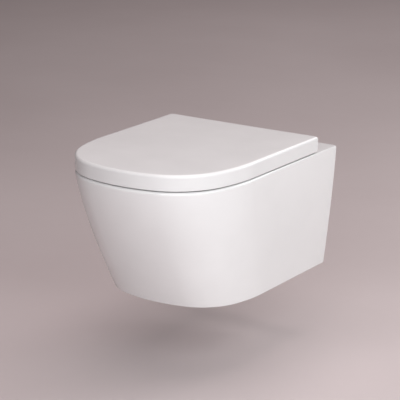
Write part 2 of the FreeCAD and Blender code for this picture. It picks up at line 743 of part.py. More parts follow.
STUD_X = "stud_spacing / 2"
SEAT_X = "seat_hole_spacing / 2"
SEAT_Y = "-seat_hole_setback"
ARM_TOP = f"{DECK_UNDER} - arm_pad"
ARM_UNDER = f"{DECK_UNDER} - arm_pad - arm_height"
ARM_FRONT = "-seat_hole_setback - arm_nose"


def bracket():
    """The right-hand wall bracket: a foot on the wall, an arm under the deck and a web between them."""
    web = doc.addObject("Sketcher::SketchObject", "bracket_web_line")
    upright = Rotation(Vector(0, 1, 0), Vector(0, 0, 1), Vector(1, 0, 0), "XYZ")
    web.Placement = FreeCAD.Placement(Vector(), upright)
    wall_side, tip = -num("bracket_foot"), -num("bracket_foot + web_reach")
    top, low = num(ARM_UNDER), num(f"{ARM_UNDER} - web_drop")
    corners = [Vector(wall_side, top), Vector(wall_side, low), Vector(tip, top)]
    lines = [web.addGeometry(Part.LineSegment(corners[n], corners[(n + 1) % 3])) for n in range(3)]
    for n in range(3):
        web.addConstraint(Sketcher.Constraint("Coincident", lines[n], 2, lines[(n + 1) % 3], 1))
    web.addConstraint(Sketcher.Constraint("Vertical", lines[0]))
    web.addConstraint(Sketcher.Constraint("Horizontal", lines[2]))
    dimension(web, "DistanceX", (lines[0], 1, -1, 1), "bracket_foot", "wall_side")
    dimension(web, "DistanceX", (lines[1], 2, -1, 1), "bracket_foot + web_reach", "tip")
    dimension(web, "DistanceY", (-1, 1, lines[0], 1), ARM_UNDER, "top")
    dimension(web, "DistanceY", (-1, 1, lines[0], 2), f"{ARM_UNDER} - web_drop", "low")
    rib = doc.addObject("Part::Extrusion", "bracket_web")
    rib.Base = web
    rib.DirMode = "Custom"
    rib.Dir = Vector(1, 0, 0)
    rib.Solid = True
    bind(rib, "LengthFwd", "web_thickness")
    bind(rib, "Placement.Base.x", f"{SEAT_X} - web_thickness / 2")

    foot_right = f"{STUD_X} + bracket_width / 2"
    body = fuse(
        "bracket_body",
        box("bracket_foot_plate", f"{SEAT_X} - arm_width / 2", foot_right, "-bracket_foot", "0",
            "-bracket_drop", ARM_TOP),
        box("bracket_arm", f"{SEAT_X} - arm_width / 2", f"{SEAT_X} + arm_width / 2",
            f"{ARM_FRONT}", "0", ARM_UNDER, ARM_TOP),
        rib,
    )
    doc.recompute()
    front, side = num(ARM_FRONT), num(foot_right)

    def outer_corner(edge):
        box_ = edge.BoundBox
        at_front = abs(box_.YMin - front) < 1e-3 and box_.YLength < 1e-3 and box_.ZLength > 1
        at_side = abs(box_.XMin - side) < 1e-3 and box_.XLength < 1e-3 and box_.YLength > 1
        return at_front or at_side

    body = rounded("bracket_rounded", body, "bracket_round", outer_corner)
    return cut(
        "bracket", body,
        cylinder("bracket_stud_hole", "stud_hole_radius", f"bracket_foot + 2 * {EXTRA}",
                 STUD_X, f"{EXTRA}", "0", TO_ROOM),
        cylinder("bracket_bolt_hole", "clamp_thread_radius + clamp_clearance",
                 f"arm_height + 2 * {EXTRA}", SEAT_X, SEAT_Y, f"{ARM_UNDER} - {EXTRA}"),
    )


def ring(name, outer, inner, height, x, y, z, rotation=None, hexagonal=False):
    """A washer, sleeve or nut: a round or six-sided outside with a bore."""
    make = hexagon if hexagonal else cylinder
    return cut(name, make(f"{name}_outside", outer, height, x, y, z, rotation),
               cylinder(f"{name}_bore", inner, height, x, y, z, rotation))


def wall_fixings():
    left_and_right("wall_bracket_left", "wall_bracket_right", bracket())
    bolt_hole = "clamp_thread_radius + clamp_clearance"
    pad = cut(
        "pad",
        box("pad_plate", f"{SEAT_X} - arm_width / 2", f"{SEAT_X} + arm_width / 2",
            ARM_FRONT, "-seat_hole_setback + arm_width", ARM_TOP, DECK_UNDER),
        cylinder("pad_hole", bolt_hole, "arm_pad", SEAT_X, SEAT_Y, ARM_TOP),
    )
    pair("bracket_pads", pad)
    pair("wall_washers", ring("wall_washer", "wall_washer_radius", "stud_hole_radius",
                              "wall_washer_thickness", STUD_X, "-bracket_foot", "0", TO_ROOM))
    pair("wall_nuts", ring("wall_nut", "wall_nut_flats", "stud_thread_radius", "wall_nut_height",
                           STUD_X, "-bracket_foot - wall_washer_thickness", "0", TO_ROOM, True))
    washer_low = f"{ARM_UNDER} - clamp_washer_thickness"
    pair("clamp_washers", ring("clamp_washer", "clamp_washer_radius", bolt_hole,
                               "clamp_washer_thickness", SEAT_X, SEAT_Y, washer_low))
    pair("clamp_nuts", ring("clamp_nut", "clamp_nut_flats", "clamp_thread_radius + thread_clearance",
                            "clamp_nut_height", SEAT_X, SEAT_Y, f"{washer_low} - clamp_nut_height",
                            None, True))


# ---------------------------------------------------------------- seat studs and hinge blocks

FLANGE_UNDER = f"{DECK} + gasket_thickness"
FLANGE_TOP = f"{DECK} + gasket_thickness + flange_thickness"
POST_TOP = f"{FLANGE_TOP} + post_height"
LATCH_Z = f"{FLANGE_TOP} + groove_rise + groove_height / 2"
AXIS_Y = "-axis_setback"
STUD_FOOT = f"{ARM_UNDER} - clamp_washer_thickness - clamp_nut_height - stud_tail"


def seat_studs():
    """Studs that clamp the pan to its brackets and carry the seat's hinge blocks."""
    groove = ring("groove", f"post_radius + {EXTRA}", "groove_radius", "groove_height",
                  SEAT_X, SEAT_Y, f"{FLANGE_TOP} + groove_rise")
    body = fuse(
        "stud_body",
        cylinder("stud_flange", "flange_radius", "flange_thickness", SEAT_X, SEAT_Y, FLANGE_UNDER),
        cylinder("stud_post", "post_radius", "post_height", SEAT_X, SEAT_Y, FLANGE_TOP),
        cylinder("stud_shank", "clamp_thread_radius", f"{FLANGE_UNDER} - ({STUD_FOOT})",
                 SEAT_X, SEAT_Y, STUD_FOOT),
    )
    key = hexagon("stud_key", "key_flats", f"key_depth + {EXTRA}", SEAT_X, SEAT_Y,
                  f"{POST_TOP} - key_depth")
    pair("seat_studs", cut("stud", body, groove, key))
    bolt_hole = "clamp_thread_radius + clamp_clearance"
    pair("centring_sleeves", ring("sleeve", "seat_hole_radius - sleeve_clearance", bolt_hole,
                                  "deck_thickness", SEAT_X, SEAT_Y, DECK_UNDER))
    pair("stud_gaskets", ring("gasket", "flange_radius", bolt_hole, "gasket_thickness",
                              SEAT_X, SEAT_Y, DECK))


def along_axis(name, radius, start, end):
    """A cylinder on the hinge axis between two places along X."""
    return cylinder(name, radius, f"({end}) - ({start})", start, AXIS_Y, AXIS, ALONG_X)


BLOCK_IN = f"{SEAT_X} - block_length / 2"
BLOCK_OUT = f"{SEAT_X} + block_length / 2"
BLOCK_REAR = "-axis_setback + barrel_radius - barrel_lip"
BLOCK_FRONT = f"{SEAT_Y} - block_nose"
BUTTON_LOW = f"{DECK} + button_rise"


def hinge_block():
    """The right-hand hinge block: a barrel for the damper, a socket for the stud, a guide for the slider."""
    low = f"{DECK} + block_gap"
    body = fuse(
        "block_body",
        box("block_base", BLOCK_IN, BLOCK_OUT, BLOCK_FRONT, BLOCK_REAR, low, AXIS),
        box("block_hood", BLOCK_IN, BLOCK_OUT, BLOCK_FRONT, AXIS_Y, AXIS, f"{AXIS} + block_top"),
        along_axis("block_barrel", "barrel_radius", BLOCK_IN, BLOCK_OUT),
    )
    doc.recompute()
    front, top = num(BLOCK_FRONT), num(f"{AXIS} + block_top")

    def front_edge(edge):
        box_ = edge.BoundBox
        upright = box_.ZLength > 3 and box_.YLength < 1e-3
        along_top = abs(box_.ZMin - top) < 1e-3 and box_.ZLength < 1e-3
        return abs(box_.YMin - front) < 1e-3 and box_.YLength < 1e-3 and (upright or along_top)

    body = rounded("block_rounded", body, "block_round", front_edge)
    half_slider = "slider_width / 2 + slider_clearance"
    half_button = "button_width / 2 + button_clearance"
    clip_room = "groove_radius + clip_clearance + clip_wire + clip_play"
    clip_low = f"{LATCH_Z} - clip_wire / 2 - clip_clearance"
    clip_height = "clip_wire + 2 * clip_clearance"
    recess_end = f"{BLOCK_REAR} - button_lap - button_travel - button_clearance"
    return cut(
        "hinge_block", body,
        along_axis("block_bore", "damper_radius + damper_clearance", f"{BLOCK_IN} + block_wall",
                   f"{BLOCK_OUT} + {EXTRA}"),
        along_axis("block_pin_hole", "pin_radius + pin_clearance", f"{BLOCK_IN} - {EXTRA}", SEAT_X),
        cylinder("block_post_socket", "post_radius + socket_clearance",
                 f"{POST_TOP} + socket_clearance - ({DECK})", SEAT_X, SEAT_Y, DECK),
        cylinder("block_flange_socket", "flange_radius + socket_clearance",
                 f"{FLANGE_TOP} + socket_clearance - ({DECK})", SEAT_X, SEAT_Y, DECK),
        cylinder("block_clip_slot", clip_room, clip_height, SEAT_X, SEAT_Y, clip_low),
        box("block_clip_tail_slot", f"{SEAT_X} - ({clip_room})", f"{SEAT_X} + {clip_room}",
            SEAT_Y, f"{SEAT_Y} + clip_tail + clip_wire", clip_low, f"{clip_low} + {clip_height}"),
        box("block_guide", f"{SEAT_X} - ({half_slider})", f"{SEAT_X} + {half_slider}",
            SEAT_Y, BLOCK_REAR, f"{LATCH_Z} - slider_thickness / 2 - slider_clearance",
            f"{LATCH_Z} + slider_thickness / 2 + slider_clearance"),
        box("block_recess", f"{SEAT_X} - ({half_button})", f"{SEAT_X} + {half_button}",
            recess_end, f"{BLOCK_REAR} + {EXTRA}", f"{BUTTON_LOW} - button_clearance",
            f"{BUTTON_LOW} + button_height + button_clearance"),
        cylinder("block_spring_pocket", "spring_radius + spring_wire / 2 + spring_clearance",
                 "spring_length + button_lap", SEAT_X, BLOCK_REAR, SPRING_Z, TO_ROOM),
    )


SPRING_Z = f"{BUTTON_LOW} + spring_radius + spring_wire / 2 + spring_clearance"


def release_button():
    """The button at the block's rear and the tapered slider that spreads the latch clip."""
    inner = f"{BLOCK_REAR} - button_lap"
    cap = box("button_cap", f"{SEAT_X} - button_width / 2", f"{SEAT_X} + button_width / 2",
              inner, f"{BLOCK_REAR} + button_stand", BUTTON_LOW, f"{BUTTON_LOW} + button_height")
    doc.recompute()
    face = num(f"{BLOCK_REAR} + button_stand")
    cap = rounded("button_rounded", cap, "button_round",
                  lambda edge: abs(edge.BoundBox.YMin - face) < 1e-3 and edge.BoundBox.YLength < 1e-3)
    nose = num(f"{SEAT_Y} + slider_reach")
    shoulder = num(f"{SEAT_Y} + slider_reach + slider_taper")
    back = num(inner)
    wide, narrow, middle = num("slider_width / 2"), num("slider_nose / 2"), num(SEAT_X)
    line = doc.addObject("Sketcher::SketchObject", "slider_line")
    bind(line, "Placement.Base.z", f"{LATCH_Z} - slider_thickness / 2")
    corners = [(-wide, back), (-wide, shoulder), (-narrow, nose),
               (narrow, nose), (wide, shoulder), (wide, back)]
    points = [Vector(middle + x, y) for x, y in corners]
    edges = [line.addGeometry(Part.LineSegment(points[n], points[(n + 1) % 6])) for n in range(6)]
    for n in range(6):
        line.addConstraint(Sketcher.Constraint("Coincident", edges[n], 2, edges[(n + 1) % 6], 1))
    for upright in (edges[0], edges[4]):
        line.addConstraint(Sketcher.Constraint("Vertical", upright))
    for level in (edges[2], edges[5]):
        line.addConstraint(Sketcher.Constraint("Horizontal", level))
    dimension(line, "DistanceX", (-1, 1, edges[0], 1), f"{SEAT_X} - slider_width / 2", "left")
    dimension(line, "DistanceX", (-1, 1, edges[4], 1), f"{SEAT_X} + slider_width / 2", "right")
    dimension(line, "DistanceX", (-1, 1, edges[2], 1), f"{SEAT_X} - slider_nose / 2", "nose_left")
    dimension(line, "DistanceX", (-1, 1, edges[2], 2), f"{SEAT_X} + slider_nose / 2", "nose_right")
    dimension(line, "DistanceY", (edges[0], 1, -1, 1), f"-({inner})", "back")
    dimension(line, "DistanceY", (edges[2], 1, -1, 1), "seat_hole_setback - slider_reach", "nose")
    dimension(line, "DistanceY", (edges[0], 2, -1, 1), "seat_hole_setback - slider_reach - slider_taper",
              "left_shoulder")
    dimension(line, "DistanceY", (edges[4], 1, -1, 1), "seat_hole_setback - slider_reach - slider_taper",
              "right_shoulder")
    return fuse("release_button", cap, prism("slider", line, "slider_thickness"))


def release_spring():
    rear = f"{BLOCK_REAR} - button_lap - spring_wire"
    helix = doc.addObject("Part::Helix", "spring_line")
    bind(helix, "Pitch", "(spring_length - 2 * spring_wire) / spring_turns")
    bind(helix, "Height", "spring_length - 2 * spring_wire")
    bind(helix, "Radius", "spring_radius")
    place(helix, SEAT_X, rear, SPRING_Z, TO_ROOM)
    wire = doc.addObject("Part::Circle", "spring_section")
    bind(wire, "Radius", "spring_wire / 2")
    place(wire, f"{SEAT_X} + spring_radius", rear, SPRING_Z)
    doc.recompute()
    spring = doc.addObject("Part::Sweep", "spring")
    spring.Sections = [wire]
    spring.Spine = (helix, [f"Edge{n}" for n in range(1, len(helix.Shape.Edges) + 1)])
    spring.Solid = True
    spring.Frenet = True
    return spring


def latch_clip():
    """A U of spring wire that grips the groove of the stud from the front."""
    middle = "groove_radius + clip_clearance + clip_wire / 2"
    bend = doc.addObject("Part::Torus", "clip_bend")
    bind(bend, "Radius1", middle)
    bind(bend, "Radius2", "clip_wire / 2")
    bend.Angle3 = 180
    place(bend, SEAT_X, SEAT_Y, LATCH_Z, Rotation(Vector(0, 0, 1), 180))
    legs = [
        cylinder(f"clip_leg_{side}", "clip_wire / 2", "clip_tail", f"{SEAT_X} + {sign} * ({middle})",
                 f"{SEAT_Y} + clip_tail", LATCH_Z, TO_ROOM)
        for side, sign in (("inner", -1), ("outer", 1))
    ]
    return fuse("latch_clip", bend, *legs)


def damper_parts(which, centre):
    """A damper cartridge and its rotor, which leaves it towards the left."""
    bore_start = f"{centre} - block_length / 2 + block_wall"
    bore_end = f"{centre} + block_length / 2 - block_wall"
    start = f"{bore_start} + end_gap"
    end = f"{bore_end} - pin_head - 2 * end_gap"
    rotor_end = f"{start} + rotor_reach"
    collar_start = f"{rotor_end} - 2 * rotor_collar"
    collar_end = f"{collar_start} + rotor_collar"
    gap = "pin_clearance"
    body = cut(
        f"{which}_damper_body",
        along_axis(f"{which}_damper_outside", "damper_radius", start, end),
        along_axis(f"{which}_damper_bore", f"pin_radius + {gap}",
                   f"{start} - {EXTRA}", f"{rotor_end} + {gap}"),
        along_axis(f"{which}_damper_chamber", f"rotor_collar_radius + {gap}",
                   f"{collar_start} - {gap}", f"{collar_end} + {gap}"),
    )
    node(body, f"{which}_damper")
    lug_outer = f"{centre} - block_length / 2 - lug_gap - lug_width"
    flats_end = f"{centre} - block_length / 2 - lug_gap"
    shaft = fuse(
        f"{which}_rotor_body",
        along_axis(f"{which}_rotor_shaft", "pin_radius", flats_end, rotor_end),
        along_axis(f"{which}_rotor_collar", "rotor_collar_radius", collar_start, collar_end),
        keyed_bar(f"{which}_rotor_key", "0", lug_outer, flats_end),
    )
    node(shaft, f"{which}_damper_rotor")


def keyed_bar(name, gap, start, end):
    """The flattened end of a rotor, or with a gap the hole that takes it."""
    flats = f"rotor_flats / 2 + {gap}"
    return common(
        name,
        along_axis(f"{name}_round", f"pin_radius + {gap}", start, end),
        box(f"{name}_flats", start, end, f"{AXIS_Y} - pin_radius - {gap}", f"{AXIS_Y} + pin_radius + {gap}",
            f"{AXIS} - ({flats})", f"{AXIS} + {flats}"),
    )


def hinge_pins():
    """A headed pin in the right-hand end of each hinge block."""
    pins = []
    for side, sign in (("left", "-1"), ("right", "1")):
        bore_end = f"{sign} * {SEAT_X} + block_length / 2 - block_wall"
        head_end = f"{bore_end} - end_gap"
        pins.append(fuse(
            f"pin_{side}",
            along_axis(f"pin_head_{side}", "pin_head_radius", f"{head_end} - pin_head", head_end),
            along_axis(f"pin_shaft_{side}", "pin_radius", f"{head_end} - pin_head",
                       f"{sign} * {SEAT_X} + block_length / 2 + lug_gap + lug_width"),
        ))
    group = doc.addObject("Part::Compound", "pins")
    group.Links = pins
    node(group, "hinge_pins")


def hinge():
    seat_studs()
    left_and_right("hinge_block_left", "hinge_block_right", hinge_block())
    cap = cut("damper_cap",
              along_axis("cap_disc", "damper_radius", f"{BLOCK_OUT} - block_wall + end_gap", BLOCK_OUT),
              along_axis("cap_bore", "pin_radius + pin_clearance", f"{BLOCK_OUT} - block_wall", BLOCK_OUT))
    pair("damper_caps", cap)
    damper_parts("lid", f"-({SEAT_X})")
    damper_parts("seat", SEAT_X)
    hinge_pins()
    left_and_right("latch_clip_left", "latch_clip_right", latch_clip())
    left_and_right("release_button_left", "release_button_right", release_button())
    left_and_right("release_spring_left", "release_spring_right", release_spring())


# ---------------------------------------------------------------- seat and lid

def bush_hole(name, start, end):
    return along_axis(name, "pin_radius + pin_clearance + bush_wall + bush_clearance",
                      f"{start} - {EXTRA}", f"{end} + {EXTRA}")


def bush(name, start, end):
    return cut(name,
               along_axis(f"{name}_outside", "pin_radius + pin_clearance + bush_wall", start, end),
               along_axis(f"{name}_bore", "pin_radius + pin_clearance", start, end))


SEAT_LUG_OUT = f"{SEAT_X} - block_length / 2 - lug_gap"
SEAT_LUG_IN = f"{SEAT_X} - block_length / 2 - lug_gap - lug_width"
LID_LUG_IN = f"{SEAT_X} + block_length / 2 + lug_gap"
LID_LUG_OUT = f"{SEAT_X} + block_length / 2 + lug_gap + lug_width"


def hole_edge(height):
    """Accepts the seat's inner edges at a height."""
    z = num(height)
    half = num(SEAT_HOLE["half"]) + 1
    rear, front = -num(SEAT_HOLE["rear"]) + 1, -num(SEAT_HOLE["front"]) - 1

    def inside(edge):
        box_ = edge.BoundBox
        level = abs(box_.ZMin - z) < 1e-3 and abs(box_.ZMax - z) < 1e-3
        return level and box_.XMax < half and box_.XMin > -half and box_.YMax < rear and box_.YMin > front

    return inside


def seat():
    board = prism("seat_board", outline_sketch("seat_line", SEAT, SEAT_BOTTOM), "seat_thickness")
    board = rounded("seat_board_top", board, "seat_outer_round", level_edge(SEAT_TOP))
    board = rounded("seat_board_under", board, "seat_under_round", level_edge(SEAT_BOTTOM))
    hole = prism("seat_opening", outline_sketch("seat_opening_line", SEAT_HOLE, f"{SEAT_BOTTOM} - {EXTRA}"),
                 f"seat_thickness + 2 * {EXTRA}")
    board = cut("seat_open", board, hole)
    board = rounded("seat_inner_top", board, "seat_inner_round", hole_edge(SEAT_TOP))
    board = rounded("seat_inner_under", board, "seat_under_round", hole_edge(SEAT_BOTTOM))
    lugs = []
    for side, start, end in (
        ("right", SEAT_LUG_IN, SEAT_LUG_OUT),
        ("left", f"-({SEAT_LUG_OUT})", f"-({SEAT_LUG_IN})"),
    ):
        lugs.append(along_axis(f"seat_lug_{side}", "lug_radius", start, end))
        lugs.append(box(f"seat_arm_{side}", start, end, "-seat_rear - lug_width", AXIS_Y,
                        f"{AXIS} - lug_step", f"{SEAT_TOP} - rest_gap"))
    ring_ = cut(
        "seat_ring_shape", fuse("seat_with_lugs", board, *lugs),
        keyed_bar("seat_key_hole", "key_clearance", SEAT_LUG_IN, SEAT_LUG_OUT),
        bush_hole("seat_bush_hole", f"-({SEAT_LUG_OUT})", f"-({SEAT_LUG_IN})"),
    )
    node(ring_, "seat_ring")
    node(bush("seat_bush_shape", f"-({SEAT_LUG_OUT})", f"-({SEAT_LUG_IN})"), "seat_bush")


def buffer_places(inset):
    """Where the buffers sit in the right-hand half: name, across, setback and turn about Z in degrees."""
    arc = f"(nose_radius - {inset})"
    return [
        ("rear", f"half_width - {inset}", f"seat_rear + {inset} + buffer_length / 2", "0"),
        ("front", f"{arc} * sin(front_buffer_turn * 1 deg)",
         f"projection - nose_radius + {arc} * cos(front_buffer_turn * 1 deg)", "front_buffer_turn - 90"),
    ]


def buffers(label, inset, make):
    """Four buffers, two to each side."""
    pieces = []
    for name, across, back, turn in buffer_places(inset):
        right = make(f"{label}_{name}", across, f"-({back})", turn)
        pieces += [right, mirrored(f"{label}_{name}_other", right)]
    group = doc.addObject("Part::Compound", f"{label}_all")
    group.Links = pieces
    node(group, label)


def seat_buffer(name, x, y, turn):
    """A rubber block with its middle at x and y."""
    block = doc.addObject("Part::Box", name)
    bind(block, "Length", "buffer_width")
    bind(block, "Width", "buffer_length")
    bind(block, "Height", "seat_lift - rest_gap")
    across, along = f"cos(({turn}) * 1 deg)", f"sin(({turn}) * 1 deg)"
    place(
        block,
        f"{x} - buffer_width / 2 * {across} + buffer_length / 2 * {along}",
        f"{y} - buffer_width / 2 * {along} - buffer_length / 2 * {across}",
        f"{DECK} + rest_gap",
        Rotation(Vector(0, 0, 1), num(turn)),
    )
    bind(block, "Placement.Rotation.Angle", f"({turn}) * 1 deg")
    doc.recompute()
    return rounded(f"{name}_rounded", block, "buffer_round", lambda edge: edge.BoundBox.ZLength > 1)


def lid_buffer(name, x, y, turn):
    return cylinder(name, "lid_buffer_radius", f"{LID_INSIDE} - ({SEAT_TOP}) - rest_gap", x, y,
                    f"{SEAT_TOP} + rest_gap")


def lid():
    shell = loft("lid_outside", [
        outline_sketch("lid_lower_line", offset_outline(LID, "lid_draft"), LID_BOTTOM),
        outline_sketch("lid_upper_line", LID, LID_TOP),
    ])
    shell = rounded("lid_rounded", shell, "lid_round", level_edge(LID_TOP))
    hollow = loft("lid_hollow", [
        outline_sketch("lid_hollow_lower", offset_outline(LID, "lid_draft + lid_skirt"), LID_BOTTOM),
        outline_sketch("lid_hollow_upper", offset_outline(LID, "lid_skirt"), LID_INSIDE),
    ])
    hollow = rounded("lid_hollow_rounded", hollow, "lid_inner_round", level_edge(LID_INSIDE))
    wide = f"half_width + {EXTRA}"
    swing = cut(
        "lid_swing",
        box("lid_swing_zone", f"-({wide})", wide, AXIS_Y, f"-lid_rear + {EXTRA}",
            DECK, f"{LID_TOP} + {EXTRA}"),
        along_axis("lid_swing_round", "axis_rise - swing_clearance", f"-({wide})", wide),
    )
    notches, lugs = [], []
    for side, inner, outer, lug_start, lug_end in (
        ("right", f"{SEAT_LUG_IN} - notch_gap", f"{LID_LUG_OUT} + notch_gap", LID_LUG_IN, LID_LUG_OUT),
        ("left", f"-({LID_LUG_OUT}) - notch_gap", f"-({SEAT_LUG_IN}) + notch_gap",
         f"-({LID_LUG_OUT})", f"-({LID_LUG_IN})"),
    ):
        notches.append(box(f"lid_notch_{side}", inner, outer, f"-lid_rear - 2 * lid_skirt",
                           f"-lid_rear + {EXTRA}", DECK, LID_INSIDE))
        lugs.append(along_axis(f"lid_lug_{side}", "lug_radius", lug_start, lug_end))
        lugs.append(box(f"lid_lug_root_{side}", lug_start, lug_end, f"{AXIS_Y} - lug_radius",
                        f"{AXIS_Y} + lug_radius", AXIS, f"{LID_INSIDE} + lid_plate / 2"))
    body = cut("lid_shell", shell, hollow, swing, *notches)
    shape = cut(
        "lid_shape", fuse("lid_with_lugs", body, *lugs),
        keyed_bar("lid_key_hole", "key_clearance", f"-({LID_LUG_OUT})", f"-({LID_LUG_IN})"),
        bush_hole("lid_bush_hole", LID_LUG_IN, LID_LUG_OUT),
    )
    node(shape, "lid")
    node(bush("lid_bush_shape", LID_LUG_IN, LID_LUG_OUT), "lid_bush")


def check(objects):
    """Stops the build if an object failed or a sub-part has no valid solid."""
    for obj in doc.Objects:
        if "Invalid" in obj.State or "Error" in obj.State:
            raise RuntimeError(f"{obj.Name} failed: {obj.State}")
    for obj in objects:
        shape = obj.Shape
        if shape.isNull() or not shape.isValid() or not shape.Solids:
            raise RuntimeError(f"{obj.Label} has no valid solid")


def main():
    fill_sheet()
    pan()
    flush_distributor()
    inlet_seal()
    wall_fixings()
    hinge()
    seat()
    buffers("seat_buffers", "seat_buffer_inset", seat_buffer)
    lid()
    buffers("lid_buffers", "lid_buffer_inset", lid_buffer)
    doc.recompute()
    check(parts)
    os.makedirs("parts", exist_ok=True)
    for obj in parts:
        obj.Shape.exportStep(os.path.join("parts", f"{obj.Label}.step"))
        box_ = obj.Shape.BoundBox
        print(obj.Label, len(obj.Shape.Solids), "solids", round(obj.Shape.Volume / 1000, 1), "cm3", box_)


main()
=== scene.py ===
"""The looks of a wall hung toilet: its glazed china, its soft-close seat and lid, and its hidden fixings.

Sizes are in millimetres. The shapes are made in the part's own frame: X to the right, Y into the wall and
Z up, from the middle of the wall studs.
"""
import json
from math import atan2, cos, pi, radians, sin, sqrt, tan, tau

import bmesh
import bpy
from mathutils import Matrix, Vector

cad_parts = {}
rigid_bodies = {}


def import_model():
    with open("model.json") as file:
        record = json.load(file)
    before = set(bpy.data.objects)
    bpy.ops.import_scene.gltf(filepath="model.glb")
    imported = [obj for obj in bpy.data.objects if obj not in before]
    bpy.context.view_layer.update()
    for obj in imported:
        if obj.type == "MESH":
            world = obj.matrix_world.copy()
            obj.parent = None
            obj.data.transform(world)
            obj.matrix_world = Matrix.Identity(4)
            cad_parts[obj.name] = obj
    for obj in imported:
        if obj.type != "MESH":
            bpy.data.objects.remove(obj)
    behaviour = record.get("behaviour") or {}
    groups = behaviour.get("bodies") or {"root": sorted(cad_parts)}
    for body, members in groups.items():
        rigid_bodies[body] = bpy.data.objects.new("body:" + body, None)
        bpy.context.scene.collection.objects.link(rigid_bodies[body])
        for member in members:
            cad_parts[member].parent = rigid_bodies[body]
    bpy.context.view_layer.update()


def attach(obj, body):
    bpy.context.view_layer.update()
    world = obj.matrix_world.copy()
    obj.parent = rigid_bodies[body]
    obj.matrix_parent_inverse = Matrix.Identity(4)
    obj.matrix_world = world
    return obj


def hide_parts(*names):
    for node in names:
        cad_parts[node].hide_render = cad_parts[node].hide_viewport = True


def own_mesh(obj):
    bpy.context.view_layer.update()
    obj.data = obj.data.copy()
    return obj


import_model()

MM = 0.001
FLAT = radians(32)  # below this angle an edge is shaded smooth
WIRE_FLAT = radians(60)  # the same for thin wire
ACROSS, UP = Vector((1, 0, 0)), Vector((0, 0, 1))

# -------- sizes (bores, rooms and holes by their radius)

FREE = 0.3  # between parts that slide in each other or only just clear each other

# outlines in plan, and the number of steps on each of their stretches
RIM = dict(half=180, front=507, start=317, shoulder=314, corner=133, nose=286, rear=0, rear_corner=6)
FOOT = dict(half=156, front=399, start=240, shoulder=268, corner=106, nose=274, rear=0, rear_corner=6)
MOUTH = dict(half=142, front=469, start=317, shoulder=276, corner=95, nose=248, rear=150, rear_corner=88)
STEPS = dict(rear=8, rear_corner=8, side=22, shoulder=26, corner=34, nose=14)

# the china
DECK = 84
UNDERSIDE = -172
BELLY_POWER = 1.3
CHINA_WALL = 10
DECK_WALL = 12
RIM_EDGE, FOOT_EDGE, MOUTH_EDGE = 5, 3, 5
FOOT_WIDTH = 30

# the bowl
LEDGE = DECK - 30
LEDGE_WIDTH = 5
BOWL_WALL = 9
BOWL_FLOOR = -164
FLOOR_MIDDLE = Vector((0, -254))
# share of the bowl's depth, size as a share of its mouth, and how far its rear wall comes forward
BOWL = [(0, 0.965, 0), (0.18, 0.9, 6), (0.42, 0.73, 18), (0.64, 0.54, 34), (0.84, 0.375, 50), (1, 0.27, 62)]

# the waterways
TRAP_RADIUS, TRAP_DIP, TRAP_CREST, TRAP_RISE, TRAP_RUN, TRAP_SETBACK = 25, 45, 35, 20, 35, 112
OUTLET_Z, OUTLET_BORE, OUTLET_RADIUS, OUTLET_LENGTH, OUTLET_END = -100, 42, 51, 36, 112
PORT_RECESS = 5
INLET_Z, INLET_BORE, INLET_WALL, INLET_DEPTH, DUCT_RADIUS = 35, 27.5, 8, 40, 22
OUTLET, INLET = (0, 0, OUTLET_Z), (0, 0, INLET_Z)
DUCT_END = MOUTH["rear"] + LEDGE_WIDTH
WINDOW_HALF, WINDOW_TOP, HOOD_REACH = 44, LEDGE + 18, 11
SEAL, SEAL_BORE, SEAL_FLANGE = 27.47, 22.6, 33.5

# the lid and the seat
LID_BOTTOM, LID_TOP, LID_INSIDE = 86.7, 118, 112.5
LID_REAR, LID_CORNER, LID_SKIRT, LID_DRAFT = 75, 5.5, 5, 0.8
LID_CROWN, CROWN_MIDDLE = 0.6, Vector((0, -300))
SEAT_BOTTOM, SEAT_TOP = 88, 108
SEAT_INSET, SEAT_WIDTH, SEAT_REAR, SEAT_CORNER = 9, 57, 128, 14
HOLE_REAR, HOLE_CORNER, HOLE_DROP = 182, 58, 3.2
FEET_INSET, PADS_INSET = 22, 36  # how far the seat's and the lid's buffers sit inside the rim

# the hinge axis and what is on it
AXIS_Y, AXIS_Z = -85, 103
LUG_RADIUS, LUG_WIDTH, LUG_PLAY = 8.5, 8, 1.5
SEAT_LUG, LID_LUG = 46.5, 100.5  # where a lug starts, to the side of the centre line
SWING_RADIUS = 18.2
KEY, KEY_HALF, KEY_GAP, BUSH_HOLE = 3.5, 2.5, 0.05, 5.1

# the studs
STUD_X = 90
SEAT_X, SEAT_Y = 77.5, -108
SEAT_HOLE = 7.5
FLANGE, FLANGE_TOP, POST, POST_TOP, STUD_FOOT = 13, 88, 6, 101, 35
GROOVE, GROOVE_HALF = 4.8, 1.5

# the hinge blocks, their latches and their buttons
BLOCK_HALF, BLOCK_FRONT, BLOCK_REAR, BLOCK_LOW, BLOCK_TOP = 22, -122, -77.5, 84.3, 109
BARREL, DAMPER_BORE, PIN_HOLE, BLOCK_WALL = 9, 7.3, 3.58, 5
LATCH_Z, CLIP_RADIUS, CLIP_WIRE, CLIP_TAIL, CLIP_ROOM, CLIP_SLOT = 90.7, 5.6, 1.4, 9.5, 7.9, 0.8
SLIDER_HALF, SLIDER_TIP, SLIDER_THICK, SLIDER_PLAY = 6.4, 4.4, 2.4, 0.25
BUTTON_LOW, BUTTON_TOP, BUTTON_FACE, BUTTON_HALF, BUTTON_TRAVEL = 85.6, 90.6, -73.5, 8, 3.5
RECESS = BLOCK_REAR - 4.8
GRIPS, GRIP_STEP, GRIP_HALF, GRIP_RADIUS = 5, 2.5, 1.35, 0.35
SPRING_Z, SPRING_END, SPRING_LENGTH, SPRING_RADIUS, SPRING_WIRE, SPRING_TURNS = 87.25, -79, 13, 1.2, 0.5, 7
SPRING_ROOM, SPRING_DEPTH = 1.65, 15

# the studio
FLOOR_Z, FLOOR_HALF = -326, 6000


# -------- outlines and rings

